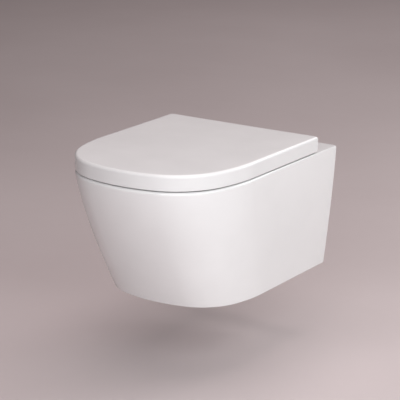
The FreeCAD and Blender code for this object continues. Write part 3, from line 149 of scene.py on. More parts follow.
def inset(outline, distance):
    """The same outline moved inwards, with its arcs' centres kept."""
    drawn = {k: outline[k] - distance for k in ("half", "front", "shoulder", "corner", "nose")}
    corner = max(outline["rear_corner"] - distance, 1)
    return {**drawn, "start": outline["start"], "rear": outline["rear"] + distance, "rear_corner": corner}


def between(first, second, share):
    """An outline part of the way from one to another."""
    return {k: first[k] + (second[k] - first[k]) * share for k in first}


def crossing(first, first_radius, second, second_radius):
    """Where two circles cross, on the side of positive X and negative Y."""
    gap = second - first
    reach = gap.length
    along = (first_radius**2 - second_radius**2 + reach**2) / (2 * reach)
    across = sqrt(first_radius**2 - along**2)
    unit = gap / reach
    side = Vector((-unit.y, unit.x)) * across
    return max((first + unit * along + side, first + unit * along - side), key=lambda p: p.x - p.y)


def heading(start, end):
    return atan2(end.y - start.y, end.x - start.x)


def ring(outline, z):
    """The points of a D-shaped outline at height z, from the middle of its rear round by the right."""
    o = outline
    shoulder_centre = Vector((o["half"] - o["shoulder"], -o["start"]))
    nose_centre = Vector((0, o["nose"] - o["front"]))
    corner_centre = crossing(
        shoulder_centre, o["shoulder"] - o["corner"], nose_centre, o["nose"] - o["corner"])
    turn = heading(shoulder_centre, corner_centre)
    tip = heading(nose_centre, corner_centre)
    back_centre = Vector((o["half"] - o["rear_corner"], -o["rear"] - o["rear_corner"]))
    points = []

    def line(start, end, steps):
        points.extend(Vector(start).lerp(Vector(end), n / steps) for n in range(steps))

    def arc(centre, radius, first, last, steps):
        for n in range(steps):
            angle = first + (last - first) * n / steps
            points.append(centre + radius * Vector((cos(angle), sin(angle))))

    line((0, -o["rear"]), (back_centre.x, -o["rear"]), STEPS["rear"])
    arc(back_centre, o["rear_corner"], pi / 2, 0, STEPS["rear_corner"])
    line((o["half"], back_centre.y), (o["half"], -o["start"]), STEPS["side"])
    arc(shoulder_centre, o["shoulder"], 0, turn, STEPS["shoulder"])
    arc(corner_centre, o["corner"], turn, tip, STEPS["corner"])
    arc(nose_centre, o["nose"], tip, -pi / 2, STEPS["nose"])
    left = [Vector((-p.x, p.y)) for p in reversed(points[1:])]
    return [Vector((p.x, p.y, z)) for p in (*points, Vector((0, -o["front"])), *left)]


def part_way(first, second, share):
    """The ring part of the way between two rings."""
    return [a.lerp(b, share) for a, b in zip(first, second)]


def shrunk(points, share, centre, z):
    """A ring drawn in towards a centre, at its own height."""
    def drawn(value, middle):
        return middle + (value - middle) * share

    return [Vector((drawn(p.x, centre.x), drawn(p.y, centre.y), z)) for p in points]


def rounding(before, corner, after, radius, steps):
    """Rings that round the edge at the ring corner, between the surfaces towards before and after."""
    rings = [[] for _ in range(steps + 1)]
    for a, p, b in zip(before, corner, after):
        back, ahead = (a - p).normalized(), (b - p).normalized()
        half = back.angle(ahead) / 2
        first, last = p + back * radius / tan(half), p + ahead * radius / tan(half)
        for n in range(steps + 1):
            t = n / steps
            weights = (1 - t) ** 2, 2 * sin(half) * t * (1 - t), t**2
            middle = first * weights[0] + p * weights[1] + last * weights[2]
            rings[n].append(middle / sum(weights))
    return rings


def rounded(profile, closed=False):
    """The rings of a profile of pairs of a ring and the radius that its edge is rounded by, or 0."""
    rings = []
    for n, (points, radius) in enumerate(profile):
        if radius:
            before, after = profile[n - 1][0], profile[(n + 1) % len(profile)][0]
            rings += rounding(before, points, after, radius, 5 if radius < 3 else 8)
        else:
            rings.append(points)
    return rings + rings[:1] if closed else rings


def linked(name, data):
    """A new object in the scene."""
    obj = bpy.data.objects.new(name, data)
    bpy.context.scene.collection.objects.link(obj)
    return obj


def piece(name, vertices, faces, finishes, smooth=True):
    """A mesh object from points in millimetres, with its faces turned outwards."""
    mesh = bpy.data.meshes.new(name)
    mesh.from_pydata([Vector(v) * MM for v in vertices], [], faces)
    for finish in finishes:
        mesh.materials.append(finish)
    shape = bmesh.new()
    shape.from_mesh(mesh)
    bmesh.ops.remove_doubles(shape, verts=shape.verts, dist=1e-7)
    bmesh.ops.recalc_face_normals(shape, faces=shape.faces)
    shape.to_mesh(mesh)
    shape.free()
    mesh.polygons.foreach_set("use_smooth", [smooth] * len(mesh.polygons))
    return linked(name, mesh)


def skin(name, rings, finishes, capped=True):
    """A surface through rings of equal length, with a face over its first and its last ring if capped."""
    count = len(rings[0])
    vertices = [p for points in rings for p in points]
    faces = []
    for n in range(len(rings) - 1):
        low, high = n * count, (n + 1) * count
        for i in range(count):
            j = (i + 1) % count
            faces.append((low + i, low + j, high + j, high + i))
    if capped:
        faces += [tuple(range(count)), tuple(range(len(vertices) - count, len(vertices)))]
    return piece(name, vertices, faces, finishes)


def settled(obj):
    """The object with its modifiers applied."""
    bpy.context.view_layer.update()
    graph = bpy.context.evaluated_depsgraph_get()
    final = obj.evaluated_get(graph)
    mesh = bpy.data.meshes.new_from_object(final, preserve_all_data_layers=True, depsgraph=graph)
    obj.modifiers.clear()
    obj.data = mesh
    mesh.name = obj.name
    return obj


def joined(obj, tool, operation="DIFFERENCE"):
    """The object cut by a tool, or grown by it, with the tool's finish on the new faces.

    A tool that cuts is drawn a little past the faces that it opens."""
    change = obj.modifiers.new(operation.title(), "BOOLEAN")
    change.object, change.operation = tool, operation
    change.solver = "MANIFOLD"
    change.material_mode = "TRANSFER"
    settled(obj)
    bpy.data.objects.remove(tool)
    return obj


def shaded(obj, angle):
    """Smooth shading that leaves flat faces flat and edges over the angle sharp."""
    obj.data.shade_smooth()
    obj.data.set_sharp_from_angle(angle=angle)
    weight = obj.modifiers.new("Weighted normals", "WEIGHTED_NORMAL")
    weight.keep_sharp = True
    return settled(obj)


def softened(obj, width, angle=FLAT, steps=2):
    """The object with its edges over the angle rounded."""
    bevel = obj.modifiers.new("Soft edges", "BEVEL")
    bevel.width = width * MM
    bevel.segments = steps
    bevel.limit_method = "ANGLE"
    bevel.angle_limit = angle
    bevel.use_clamp_overlap = True
    return settled(obj)


def placed(obj, body, slot, *nodes, angle=FLAT):
    """Shades a finished piece and puts it on its body, in place of the CAD nodes it stands for."""
    shaded(obj, angle)
    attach(obj, body)
    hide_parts(*nodes)


# -------- plain tools and small shapes

def turned(name, profile, axis, centre, finish, steps=64, capped=True):
    """A solid turned about X, Y or Z, from pairs of a radius, or a function that gives it by angle, and a
    place along the axis. Uncapped, the profile is a closed loop."""
    rings = []
    for radius, along in profile if capped else [*profile, profile[0]]:
        points = []
        for n in range(steps):
            angle = tau * n / steps
            reach = radius(angle) if callable(radius) else radius
            place = [reach * cos(angle), reach * sin(angle)]
            place.insert("XYZ".index(axis), along)
            points.append(Vector(centre) + Vector(place))
        rings.append(points)
    return skin(name, rings, [finish], capped)


def rod(name, radius, start, end, axis, centre, finish, steps=64):
    return turned(name, [(radius, start), (radius, end)], axis, centre, finish, steps)


def block(name, low, high, finish):
    corners = [(x, y, z) for x in (low[0], high[0]) for y in (low[1], high[1]) for z in (low[2], high[2])]
    faces = [(0, 1, 3, 2), (4, 6, 7, 5), (0, 4, 5, 1), (2, 3, 7, 6), (0, 2, 6, 4), (1, 5, 7, 3)]
    return piece(name, corners, faces, [finish], smooth=False)


def swept(name, points, across, radius, finish, steps=48):
    """A tube of one radius along points in a plane. Across is the plane's normal."""
    rings = []
    for n, point in enumerate(points):
        ahead = (points[min(n + 1, len(points) - 1)] - points[max(n - 1, 0)]).normalized()
        up = across.cross(ahead)
        turns = [tau * i / steps for i in range(steps)]
        rings.append([point + radius * (cos(a) * across + sin(a) * up) for a in turns])
    return skin(name, rings, [finish])


def hexagon(flats):
    """The radius of a six-sided outline, by angle, with a corner at angle 0."""
    return lambda angle: flats / 2 / cos(angle % (pi / 3) - pi / 6)


def thread(outer, depth, pitch, start, end):
    """Rows of a profile that carry a screw thread, which runs out at both ends."""
    def radius(along, cut):
        return lambda angle: outer - cut * abs(2 * ((along / pitch - angle / tau) % 1) - 1)

    count = round(abs(end - start) / pitch * 8)
    rows = []
    for n in range(count + 1):
        along = start + (end - start) * n / count
        cut = depth * min(1, abs(along - start) / pitch, abs(end - along) / pitch)
        rows.append((radius(along, cut), along))
    return rows


def nut(name, flats, low, high, bore, pitch, axis, centre, finish):
    """A six-sided nut with chamfered corners and a threaded bore."""
    six = hexagon(flats)

    def trimmed(depth):
        return lambda angle: min(six(angle), flats * 0.485 + depth * sqrt(3))

    depths = [d * flats / 19 for d in (0, 0.25, 0.5, 0.75, 1.0, 1.3)]
    rows = [(trimmed(d), low + d) for d in depths] + [(trimmed(d), high - d) for d in reversed(depths)]
    rows += [(bore + 0.5, high), *thread(bore, bore * 0.12, pitch, high - 0.5, low + 0.5), (bore + 0.5, low)]
    return turned(name, rows, axis, centre, finish, 72, capped=False)


def washer(name, outer, bore, low, high, axis, centre, finish):
    """A washer with broken edges."""
    edge = 0.3
    rows = [(bore, high - edge), (bore, low + edge), (bore + edge, low), (outer - edge, low),
            (outer, low + edge), (outer, high - edge), (outer - edge, high), (bore + edge, high)]
    return turned(name, rows, axis, centre, finish, capped=False)


def oblong(half_x, half_y, radius, z):
    """The points of a rectangle with round corners, about the origin."""
    steps = 8
    points = []
    for n, (x, y) in enumerate(((1, 1), (-1, 1), (-1, -1), (1, -1))):
        centre = Vector((x * (half_x - radius), y * (half_y - radius), z))
        for i in range(steps + 1):
            angle = pi / 2 * (n + i / steps)
            points.append(centre + radius * Vector((cos(angle), sin(angle), 0)))
    return points


def tablet(name, half_x, half_y, low, high, corner, low_round, high_round, finish):
    """A block about the Z axis with round corners and rounded edges below and above."""
    inner = [oblong((half_x + corner) / 2, (half_y + corner) / 2, corner / 2, z) for z in (low, high)]
    outer = [oblong(half_x, half_y, corner, z) for z in (low, high)]
    profile = [(inner[0], 0), (outer[0], low_round), (outer[1], high_round), (inner[1], 0)]
    return skin(name, rounded(profile), [finish])


def moved(obj, place, turn=0.0, about="Z"):
    """The object's mesh turned about an axis and then moved to its place."""
    turning = Matrix.Rotation(radians(turn), 4, about)
    obj.data.transform(Matrix.Translation(Vector(place) * MM) @ turning)
    return obj


def likeness(node, name, finish):
    """A copy of a CAD node's mesh, joined up, with its flat faces whole."""
    mesh = bpy.data.objects[node].data.copy()
    mesh.materials.clear()
    mesh.materials.append(finish)
    shape = bmesh.new()
    shape.from_mesh(mesh)
    bmesh.ops.remove_doubles(shape, verts=shape.verts, dist=1e-6)
    bmesh.ops.dissolve_limit(shape, angle_limit=radians(0.5), verts=shape.verts, edges=shape.edges)
    shape.to_mesh(mesh)
    shape.free()
    return linked(name, mesh)


def grouped(name, pieces):
    """Several pieces as one object."""
    shape = bmesh.new()
    for obj in pieces:
        shape.from_mesh(obj.data)
    mesh = bpy.data.meshes.new(name)
    for finish in pieces[0].data.materials:
        mesh.materials.append(finish)
    shape.to_mesh(mesh)
    shape.free()
    for obj in pieces:
        bpy.data.objects.remove(obj)
    return linked(name, mesh)


def smooth_between(table, x):
    """The row of a table at x, on a smooth curve through its rows."""
    n = max(i for i in range(len(table) - 1) if table[i][0] <= x + 1e-9)
    before, after = table[max(n - 1, 0)], table[min(n + 2, len(table) - 1)]
    first, last = table[n], table[n + 1]
    span = last[0] - first[0]
    t = (x - first[0]) / span
    row = []
    for a, b, c, d in list(zip(before, first, last, after))[1:]:
        start = (c - a) / (last[0] - before[0]) * span
        end = (d - b) / (after[0] - first[0]) * span
        row.append(b * (2 * t**3 - 3 * t**2 + 1) + c * (3 * t**2 - 2 * t**3)
                   + start * (t**3 - 2 * t**2 + t) + end * (t**3 - t**2))
    return row


# -------- node trees

class Nodes:
    """A node tree being built."""

    def __init__(self, tree):
        self.tree = tree

    def add(self, kind, sockets=None, output=0, **settings):
        """Adds a node, sets it, feeds its sockets with values or wires, and gives one of its outputs."""
        node = self.tree.nodes.new(kind)
        for name, value in settings.items():
            setattr(node, name, value)
        for name, value in (sockets or {}).items():
            socket = node.inputs[name]
            if isinstance(value, Wire):
                self.tree.links.new(value.socket, socket)
            else:
                socket.default_value = value
        return Wire(self, node.outputs[output]) if node.outputs else None


class Wire:
    """An output of a node, on which arithmetic adds Math nodes."""

    def __init__(self, nodes, socket):
        self.nodes, self.socket = nodes, socket

    def math(self, operation, other):
        return self.nodes.add("ShaderNodeMath", {0: self, 1: other}, operation=operation)

    def __add__(self, other):
        return self.math("ADD", other)

    def __sub__(self, other):
        return self.math("SUBTRACT", other)

    def __mul__(self, other):
        return self.math("MULTIPLY", other)


class Grown(Nodes):
    """A Geometry Nodes tree being built, with named inputs."""

    def __init__(self, name, **inputs):
        super().__init__(bpy.data.node_groups.new(name, "GeometryNodeTree"))
        sockets = self.tree.interface
        sockets.new_socket("Geometry", in_out="OUTPUT", socket_type="NodeSocketGeometry")
        self.ids = {}
        for label, kind in {**inputs, "Finish": "Material"}.items():
            made = sockets.new_socket(label, in_out="INPUT", socket_type="NodeSocket" + kind)
            self.ids[label] = made.identifier
        self.start = self.tree.nodes.new("NodeGroupInput")

    def __getitem__(self, label):
        return Wire(self, self.start.outputs[label])

    def tube(self, curve, radius):
        """A round bar along a curve."""
        section = self.add("GeometryNodeCurvePrimitiveCircle", {"Resolution": 12, "Radius": radius})
        sockets = {"Curve": curve, "Profile Curve": section, "Fill Caps": True}
        return self.add("GeometryNodeCurveToMesh", sockets)

    def ended(self, geometry):
        real = self.add("GeometryNodeRealizeInstances", {"Geometry": geometry})
        sockets = {"Geometry": real, "Material": self["Finish"]}
        self.add("NodeGroupOutput", {"Geometry": self.add("GeometryNodeSetMaterial", sockets)})
        return self

    def made(self, name, **sizes):
        """A plain mesh that the tree makes from these inputs."""
        obj = linked(name, bpy.data.meshes.new(name))
        change = obj.modifiers.new(name, "NODES")
        change.node_group = self.tree
        for label, value in sizes.items():
            change[self.ids[label]] = value
        return settled(obj)


def bars_tree():
    """A row of round bars of one length."""
    g = Grown("bars", Count="Int", First="Vector", Step="Vector", Half="Vector", Radius="Float")
    line = g.add("GeometryNodeMeshLine", {
        "Count": g["Count"], "Start Location": g["First"], "Offset": g["Step"],
    })
    back = g.add("ShaderNodeVectorMath", {0: g["Half"], "Scale": -1.0}, operation="SCALE")
    spine = g.add("GeometryNodeCurvePrimitiveLine", {"Start": back, "End": g["Half"]})
    bar = g.tube(spine, g["Radius"])
    return g.ended(g.add("GeometryNodeInstanceOnPoints", {"Points": line, "Instance": bar}))


def spring_tree():
    """A coil spring that stands on the origin."""
    g = Grown("spring", Turns="Float", Radius="Float", Wire="Float", Length="Float")
    coil = g.add("GeometryNodeCurveSpiral", {
        "Resolution": 28, "Rotations": g["Turns"], "Start Radius": g["Radius"],
        "End Radius": g["Radius"], "Height": g["Length"],
    })
    return g.ended(g.tube(coil, g["Wire"] * 0.5))


# -------- finishes

class Finish(Nodes):
    """A material being built, with the patterns that several finishes share."""

    def __init__(self, name):
        self.material = bpy.data.materials.new(name)
        self.material.use_nodes = True
        super().__init__(self.material.node_tree)
        self.tree.nodes.clear()
        self.place = self.add("ShaderNodeTexCoord", output="Object")

    def noise(self, size, detail=2, roughness=0.5, place=None):
        """Cloudy variation from 0 to 1, with patches of about a size in millimetres."""
        return self.add("ShaderNodeTexNoise", {
            "Vector": place or self.place, "Scale": 1 / (size * MM), "Detail": detail, "Roughness": roughness,
        })

    def cells(self, size):
        """Distance to the nearest of points scattered about a size apart."""
        return self.add("ShaderNodeTexVoronoi", {"Vector": self.place, "Scale": 1 / (size * MM)})

    def stretched(self, scale):
        return self.add("ShaderNodeMapping", {"Vector": self.place, "Scale": scale})

    def colours(self, mask, dark, light):
        """A colour between two, by a mask."""
        mixed = self.add("ShaderNodeValToRGB", {"Fac": mask}, "Color")
        stops = mixed.socket.node.color_ramp.elements
        for stop, place, colour in zip(stops, (0.3, 0.7), (dark, light)):
            stop.position, stop.color = place, (*colour, 1)
        return mixed

    def bump(self, height, depth):
        """A normal from a height between 0 and 1, depth millimetres deep."""
        return self.add("ShaderNodeBump", {"Height": height, "Distance": depth * MM, "Strength": 1.0})

    def done(self, colour, roughness, normal, **others):
        """Closes the material with a shader, whose other sockets are given as lower case words."""
        sockets = {"Base Color": colour, "Roughness": roughness, "Normal": normal}
        for name, value in others.items():
            sockets[name.replace("_", " ").title().replace("Ior", "IOR")] = value
        self.add("ShaderNodeOutputMaterial", {"Surface": self.add("ShaderNodeBsdfPrincipled", sockets)})
        return self.material


def glazed_china():
    """White vitreous china under a thick glaze, which pools in slow waves and has a few pinholes."""
    f = Finish("glazed_china")
    waves = f.noise(55, 1)
    orange_peel = f.noise(5, 2, 0.6)
    drift = f.noise(140, 3)
    glaze = f.cells(26)
    pinholes = f.add("ShaderNodeMath", {0: 1, 1: glaze.math("GREATER_THAN", 0.012)}, operation="SUBTRACT")
    height = waves * 0.8 + orange_peel * 0.06 - pinholes * 0.25
    return f.done(
        f.colours(drift, (0.826, 0.828, 0.83), (0.864, 0.866, 0.868)),
        f.noise(30, 3) * 0.05 + 0.05,
        f.bump(height, 0.14),
        specular_ior_level=0.55,
        coat_weight=0.25,
        coat_roughness=0.03,
    )


def bare_china():
    """Unglazed fired body: matt, buff and a little gritty."""
    f = Finish("bare_china")
    grit = f.noise(1.2, 4, 0.7)
    stain = f.noise(45, 4, 0.6)
    return f.done(
        f.colours(stain * 0.8 + grit * 0.2, (0.60, 0.555, 0.49), (0.72, 0.685, 0.63)),
        grit * 0.2 + 0.7,
        f.bump(grit * 0.5 + f.noise(9, 2) * 0.5, 0.25),
    )


def gloss_plastic():
    """Pressed white duroplast: dense, cool white and polished, with a faint ripple from the tool."""
    f = Finish("gloss_white_duroplast")
    ripple = f.noise(38, 1)
    haze = f.noise(12, 3)
    return f.done(
        f.colours(f.noise(90, 2), (0.79, 0.792, 0.794), (0.822, 0.824, 0.826)),
        haze * 0.06 + 0.17,
        f.bump(ripple * 0.9 + f.noise(2.2, 2) * 0.03, 0.06),
        specular_ior_level=0.4,
        coat_weight=0.05,
        coat_roughness=0.1,
    )


def satin_moulding(name, dark, light, roughness, grain=0.5):
    """Injection-moulded plastic with a fine spark-eroded grain."""
    f = Finish(name)
    texture = f.noise(grain, 2, 0.6)
    return f.done(
        f.colours(f.noise(14, 3), dark, light),
        f.noise(6, 3) * 0.12 + roughness,
        f.bump(texture, 0.03),
    )


def soft_rubber(name, dark, light):
    """Moulded rubber, matt, with dust in its pores."""
    f = Finish(name)
    pores = f.cells(0.8)
    return f.done(
        f.colours(f.noise(5, 4, 0.6), dark, light),
        f.noise(3, 3) * 0.2 + 0.6,
        f.bump(pores * 0.5 + f.noise(2, 2) * 0.5, 0.05),
    )


def zinc_plating():
    """Bright zinc over rolled steel: bluish, patchy and finely scratched."""
    f = Finish("bright_zinc")
    patches = f.noise(7, 4, 0.6)
    rolled = f.noise(0.6, 2, 0.5, f.stretched((1, 1, 0.08)))
    return f.done(
        f.colours(patches, (0.50, 0.52, 0.55), (0.66, 0.67, 0.68)),
        patches * 0.22 + 0.24 + rolled * 0.08,
        f.bump(rolled * 0.6 + f.noise(1.5, 3) * 0.4, 0.02),
        metallic=1.0,
    )


def turned_stainless():
    """Stainless steel with fine rings left by the lathe."""
    f = Finish("turned_stainless")
    rings = f.noise(0.35, 1, 0.5, f.stretched((0.05, 0.05, 1)))
    return f.done(
        f.colours(f.noise(8, 3), (0.56, 0.555, 0.55), (0.66, 0.655, 0.65)),
        rings * 0.14 + 0.18,
        f.bump(rings, 0.015),
        metallic=1.0,
    )


def pale_floor():
    """A pale mineral studio floor."""
    f = Finish("pale_floor")
    cloud = f.noise(900, 3)
    return f.done(
        f.colours(cloud, (0.57, 0.505, 0.505), (0.61, 0.545, 0.545)),
        f.noise(60, 3) * 0.2 + 0.55,
        f.bump(f.noise(4, 3), 0.05),
    )


CHINA = glazed_china()
BARE = bare_china()
DUROPLAST = gloss_plastic()
SATIN = satin_moulding("white_satin_moulding", (0.72, 0.72, 0.71), (0.78, 0.78, 0.77), 0.3)
GREY = satin_moulding("grey_satin_moulding", (0.14, 0.145, 0.15), (0.19, 0.195, 0.20), 0.4)
NYLON = satin_moulding("black_nylon", (0.012, 0.012, 0.013), (0.03, 0.03, 0.032), 0.45, 0.8)
WHITE_RUBBER = soft_rubber("moulded_white_rubber", (0.55, 0.55, 0.53), (0.64, 0.64, 0.62))
BLACK_RUBBER = soft_rubber("moulded_black_rubber", (0.010, 0.010, 0.010), (0.028, 0.028, 0.028))
ZINC = zinc_plating()
STAINLESS = turned_stainless()


# -------- the pan

def seat_place(side):
    """Where the seat stud of a side stands."""
    return side * SEAT_X, SEAT_Y, 0


def pan_wall(z, wall=0.0, rear=0.0):
    """The pan's outline at height z, inside a wall of some thickness."""
    drawn_in = ((DECK - z) / (DECK - UNDERSIDE)) ** BELLY_POWER
    outline = inset(between(RIM, FOOT, drawn_in), wall)
    return ring({**outline, "rear": rear, "rear_corner": RIM["rear_corner"]}, z)


def bowl_ring(depth, floor, wall=0.0):
    """The bowl's inside at a share of its depth, or its outside with a wall."""
    scale, forward = smooth_between(BOWL, depth)
    rear = MOUTH["rear"] + LEDGE_WIDTH + forward
    outline = {
        **{k: MOUTH[k] * scale for k in ("half", "shoulder", "corner", "nose", "rear_corner")},
        "rear": rear,
        "start": rear + (MOUTH["start"] - MOUTH["rear"]) * scale,
        "front": rear + (MOUTH["front"] - MOUTH["rear"]) * scale,
    }
    return ring(inset(outline, -wall), LEDGE + (floor - LEDGE) * depth)


def trap_path():
    """The trap's middle line: out of the sump, down and up, over the weir and down into the outlet."""
    low = BOWL_FLOOR + TRAP_RADIUS
    rise, drop = -TRAP_SETBACK - TRAP_CREST, -TRAP_SETBACK + TRAP_CREST
    dip_y, dip_z = rise - TRAP_DIP, low + TRAP_DIP
    bend_top = dip_z + TRAP_RISE
    path = [(dip_y - TRAP_RUN, low)]
    for n in range(17):
        angle = pi / 2 * n / 16
        path.append((dip_y + TRAP_DIP * sin(angle), dip_z - TRAP_DIP * cos(angle)))
    for n in range(33):
        angle = pi * n / 32
        path.append((-TRAP_SETBACK - TRAP_CREST * cos(angle), bend_top + TRAP_CREST * sin(angle)))
    return [Vector((0, y, z)) for y, z in [*path, (drop, OUTLET_Z)]]


def pan_body():
    """The outer skin, the rim and the bowl as one surface."""
    foot_inset = ring({**inset(FOOT, FOOT_WIDTH), "rear_corner": 20}, UNDERSIDE)
    mouth, deck_edge = ring(MOUTH, DECK), pan_wall(DECK)
    floor = bowl_ring(1, BOWL_FLOOR)
    depths = [8 + (DECK - UNDERSIDE - 18) * n / 40 for n in range(41)]
    profile = [(foot_inset, 0), (pan_wall(UNDERSIDE), FOOT_EDGE)]
    profile += [(pan_wall(DECK - depth), 0) for depth in reversed(depths)]
    profile += [(deck_edge, RIM_EDGE)]
    profile += [(part_way(deck_edge, mouth, share), 0) for share in (0.18, 0.4, 0.6, 0.8)]
    profile += [(mouth, MOUTH_EDGE)]
    profile += [(ring(MOUTH, z), 0) for z in (DECK - 12, DECK - 20)]
    profile += [(ring(MOUTH, LEDGE), 3), (bowl_ring(0, BOWL_FLOOR), 2)]
    profile += [(bowl_ring(0.03 + 0.87 * n / 36, BOWL_FLOOR), 0) for n in range(37)]
    profile += [(floor, 12), (shrunk(floor, 0.3, FLOOR_MIDDLE, BOWL_FLOOR), 0)]
    return skin("pan_china", rounded(profile), [CHINA, BARE])


def pan_hollow():
    """The room inside the china, less the bowl, the trap and the connections with their walls."""
    low, top = UNDERSIDE + CHINA_WALL, DECK - DECK_WALL
    caps = [pan_wall(z, CHINA_WALL + 20, 18) for z in (low, top)]
    profile = [(caps[0], 0), (pan_wall(low, CHINA_WALL, -2), 5)]
    profile += [(pan_wall(low + (top - low) * n / 20, CHINA_WALL, -2), 0) for n in range(1, 20)]
    profile += [(pan_wall(top, CHINA_WALL, -2), 5), (caps[1], 0)]
    hollow = skin("pan_hollow", rounded(profile), [BARE])
    bowl_wall = [bowl_ring(n / 24, UNDERSIDE, BOWL_WALL) for n in range(25)]
    mouth_wall = [ring(inset(MOUTH, -BOWL_WALL), z) for z in (LEDGE - BOWL_WALL, DECK)]
    spigot = [(OUTLET_RADIUS, -PORT_RECESS - OUTLET_LENGTH), (OUTLET_RADIUS, -PORT_RECESS - 2),
              (OUTLET_RADIUS - 2, -PORT_RECESS)]
    walls = [
        skin("bowl_outside", bowl_wall, [BARE]),
        skin("mouth_outside", mouth_wall, [BARE]),
        swept("trap_outside", trap_path(), ACROSS, TRAP_RADIUS + BOWL_WALL, BARE),
        rod("outlet_outside", OUTLET_RADIUS - 1, -OUTLET_END - BOWL_WALL, -PORT_RECESS, "Y", OUTLET, BARE),
        turned("outlet_spigot", spigot, "Y", OUTLET, CHINA, 96),
        rod("inlet_outside", INLET_BORE + INLET_WALL, -DUCT_END, -PORT_RECESS, "Y", INLET, CHINA),
        block("flush_chamber_outside",
              (-WINDOW_HALF - BOWL_WALL, -DUCT_END - BOWL_WALL, INLET_Z - DUCT_RADIUS - INLET_WALL),
              (WINDOW_HALF + BOWL_WALL, -DUCT_END + DUCT_RADIUS + BOWL_WALL, DECK), BARE),
    ]
    for wall in walls:
        joined(hollow, wall)
    return hollow


def pan():
    """One fired piece, hollow behind its skin, with its waterways and stud holes cut through."""
    body = joined(pan_body(), pan_hollow())
    window = block("flush_window", (-WINDOW_HALF, -DUCT_END - HOOD_REACH, INLET_Z - DUCT_RADIUS),
                   (WINDOW_HALF, -DUCT_END + DUCT_RADIUS, WINDOW_TOP), CHINA)
    spaces = [
        swept("trap_inside", trap_path(), ACROSS, TRAP_RADIUS, CHINA),
        rod("outlet_inside", OUTLET_BORE, -OUTLET_END, 2, "Y", OUTLET, CHINA, 96),
        rod("inlet_socket", INLET_BORE, -INLET_DEPTH, 2, "Y", INLET, CHINA),
        rod("inlet_duct", DUCT_RADIUS, -DUCT_END, -INLET_DEPTH + 2, "Y", INLET, CHINA),
        softened(window, 2, steps=3),
    ]
    spaces += [rod("seat_hole", SEAT_HOLE, DECK - DECK_WALL - 2, DECK + 2, "Z", seat_place(side), CHINA, 48)
               for side in (1, -1)]
    for space in spaces:
        joined(body, space)
    unglazed = body.data.materials.find(BARE.name)
    for face in body.data.polygons:
        if face.center.y > -1e-4 and face.normal.y > 0.9:
            face.material_index = unglazed
    placed(body, "pan", "china", "pan")


# -------- the lid and the seat

def span(side, start, end):
    """Two places along X on one side, in order."""
    return sorted((side * start, side * end))


def hinge_line(name, radius, start, end, finish, steps=48):
    """A rod on the hinge axis."""
    return rod(name, radius, start, end, "X", (0, AXIS_Y, AXIS_Z), finish, steps)


def bush_hole(start, end):
    """The hole through a lug for its bush."""
    return hinge_line("bush_hole", BUSH_HOLE, start - 1, end + 1, DUROPLAST)


def keyhole(start, end):
    """The hole through a lug for the flattened end of a damper's rotor."""
    radius, half = KEY + KEY_GAP, KEY_HALF + KEY_GAP
    low, high = (start - 1, AXIS_Y - 5, AXIS_Z - half), (end + 1, AXIS_Y + 5, AXIS_Z + half)
    round_hole = hinge_line("key_round", radius, start - 2, end + 2, DUROPLAST)
    return joined(block("key", low, high, DUROPLAST), round_hole, "INTERSECT")


def lug(start, low, high):
    """A hinge lug: an eye on the axis and the arm that ties it to its board, both with soft edges."""
    eye = hinge_line("lug", LUG_RADIUS, start, start + LUG_WIDTH, DUROPLAST, 64)
    joined(eye, block("arm", (start, *low), (start + LUG_WIDTH, *high), DUROPLAST), "UNION")
    return softened(eye, 0.6, radians(40), 3)


def lid():
    """A pressed cover whose side hides the seat. Its top is crowned a little and its edges are rounded."""
    outside = {**RIM, "rear": LID_REAR, "rear_corner": LID_CORNER}

    def side(z, wall=0.0):
        """The lid's outline at a height, drawn in towards its lower edge."""
        return ring(inset(outside, wall + LID_DRAFT * (LID_TOP - z) / (LID_TOP - LID_BOTTOM)), z)

    def crown(share):
        return shrunk(ring(outside, 0), share, CROWN_MIDDLE, LID_TOP - LID_CROWN * share**2)

    def ceiling(share):
        return shrunk(ring(inset(outside, LID_SKIRT), 0), share, CROWN_MIDDLE, LID_INSIDE)

    profile = [(ceiling(share), 0) for share in (0.03, 0.3, 0.6, 0.85, 0.93)]
    profile += [(side(LID_INSIDE, LID_SKIRT), 4)]
    profile += [(side(z, LID_SKIRT), 0) for z in (105, 98, 92)]
    profile += [(side(LID_BOTTOM, LID_SKIRT), 0.8), (side(LID_BOTTOM), 0.9)]
    profile += [(side(z), 0) for z in (90, 96, 103, 109)]
    profile += [(side(LID_TOP - LID_CROWN), 6)]
    profile += [(crown(share), 0) for share in (0.94, 0.9, 0.84, 0.76, 0.66, 0.55, 0.43, 0.3, 0.17, 0.03)]
    cover = skin("lid_cover", rounded(profile), [DUROPLAST])
    wide = RIM["half"] + 5
    swing = block("swing_zone", (-wide, AXIS_Y, DECK), (wide, -LID_REAR + 2, LID_TOP + 2), DUROPLAST)
    joined(swing, hinge_line("swing_round", SWING_RADIUS, -wide - 1, wide + 1, DUROPLAST, 128))
    joined(cover, swing)
    low, high = (AXIS_Y - LUG_RADIUS, AXIS_Z), (AXIS_Y + LUG_RADIUS, LID_INSIDE + 2.5)
    for sign in (1, -1):
        left, right = span(sign, SEAT_LUG - LUG_PLAY, LID_LUG + LUG_WIDTH + LUG_PLAY)
        notch = block("notch", (left, -LID_REAR - 10, DECK), (right, -LID_REAR + 2, LID_INSIDE), DUROPLAST)
        joined(cover, softened(notch, 1.5, steps=3))
        joined(cover, lug(span(sign, LID_LUG, LID_LUG + LUG_WIDTH)[0], low, high), "UNION")
    joined(cover, keyhole(-LID_LUG - LUG_WIDTH, -LID_LUG))
    joined(cover, bush_hole(LID_LUG, LID_LUG + LUG_WIDTH))
    placed(cover, "lid", "white_seat_plastic", "lid")


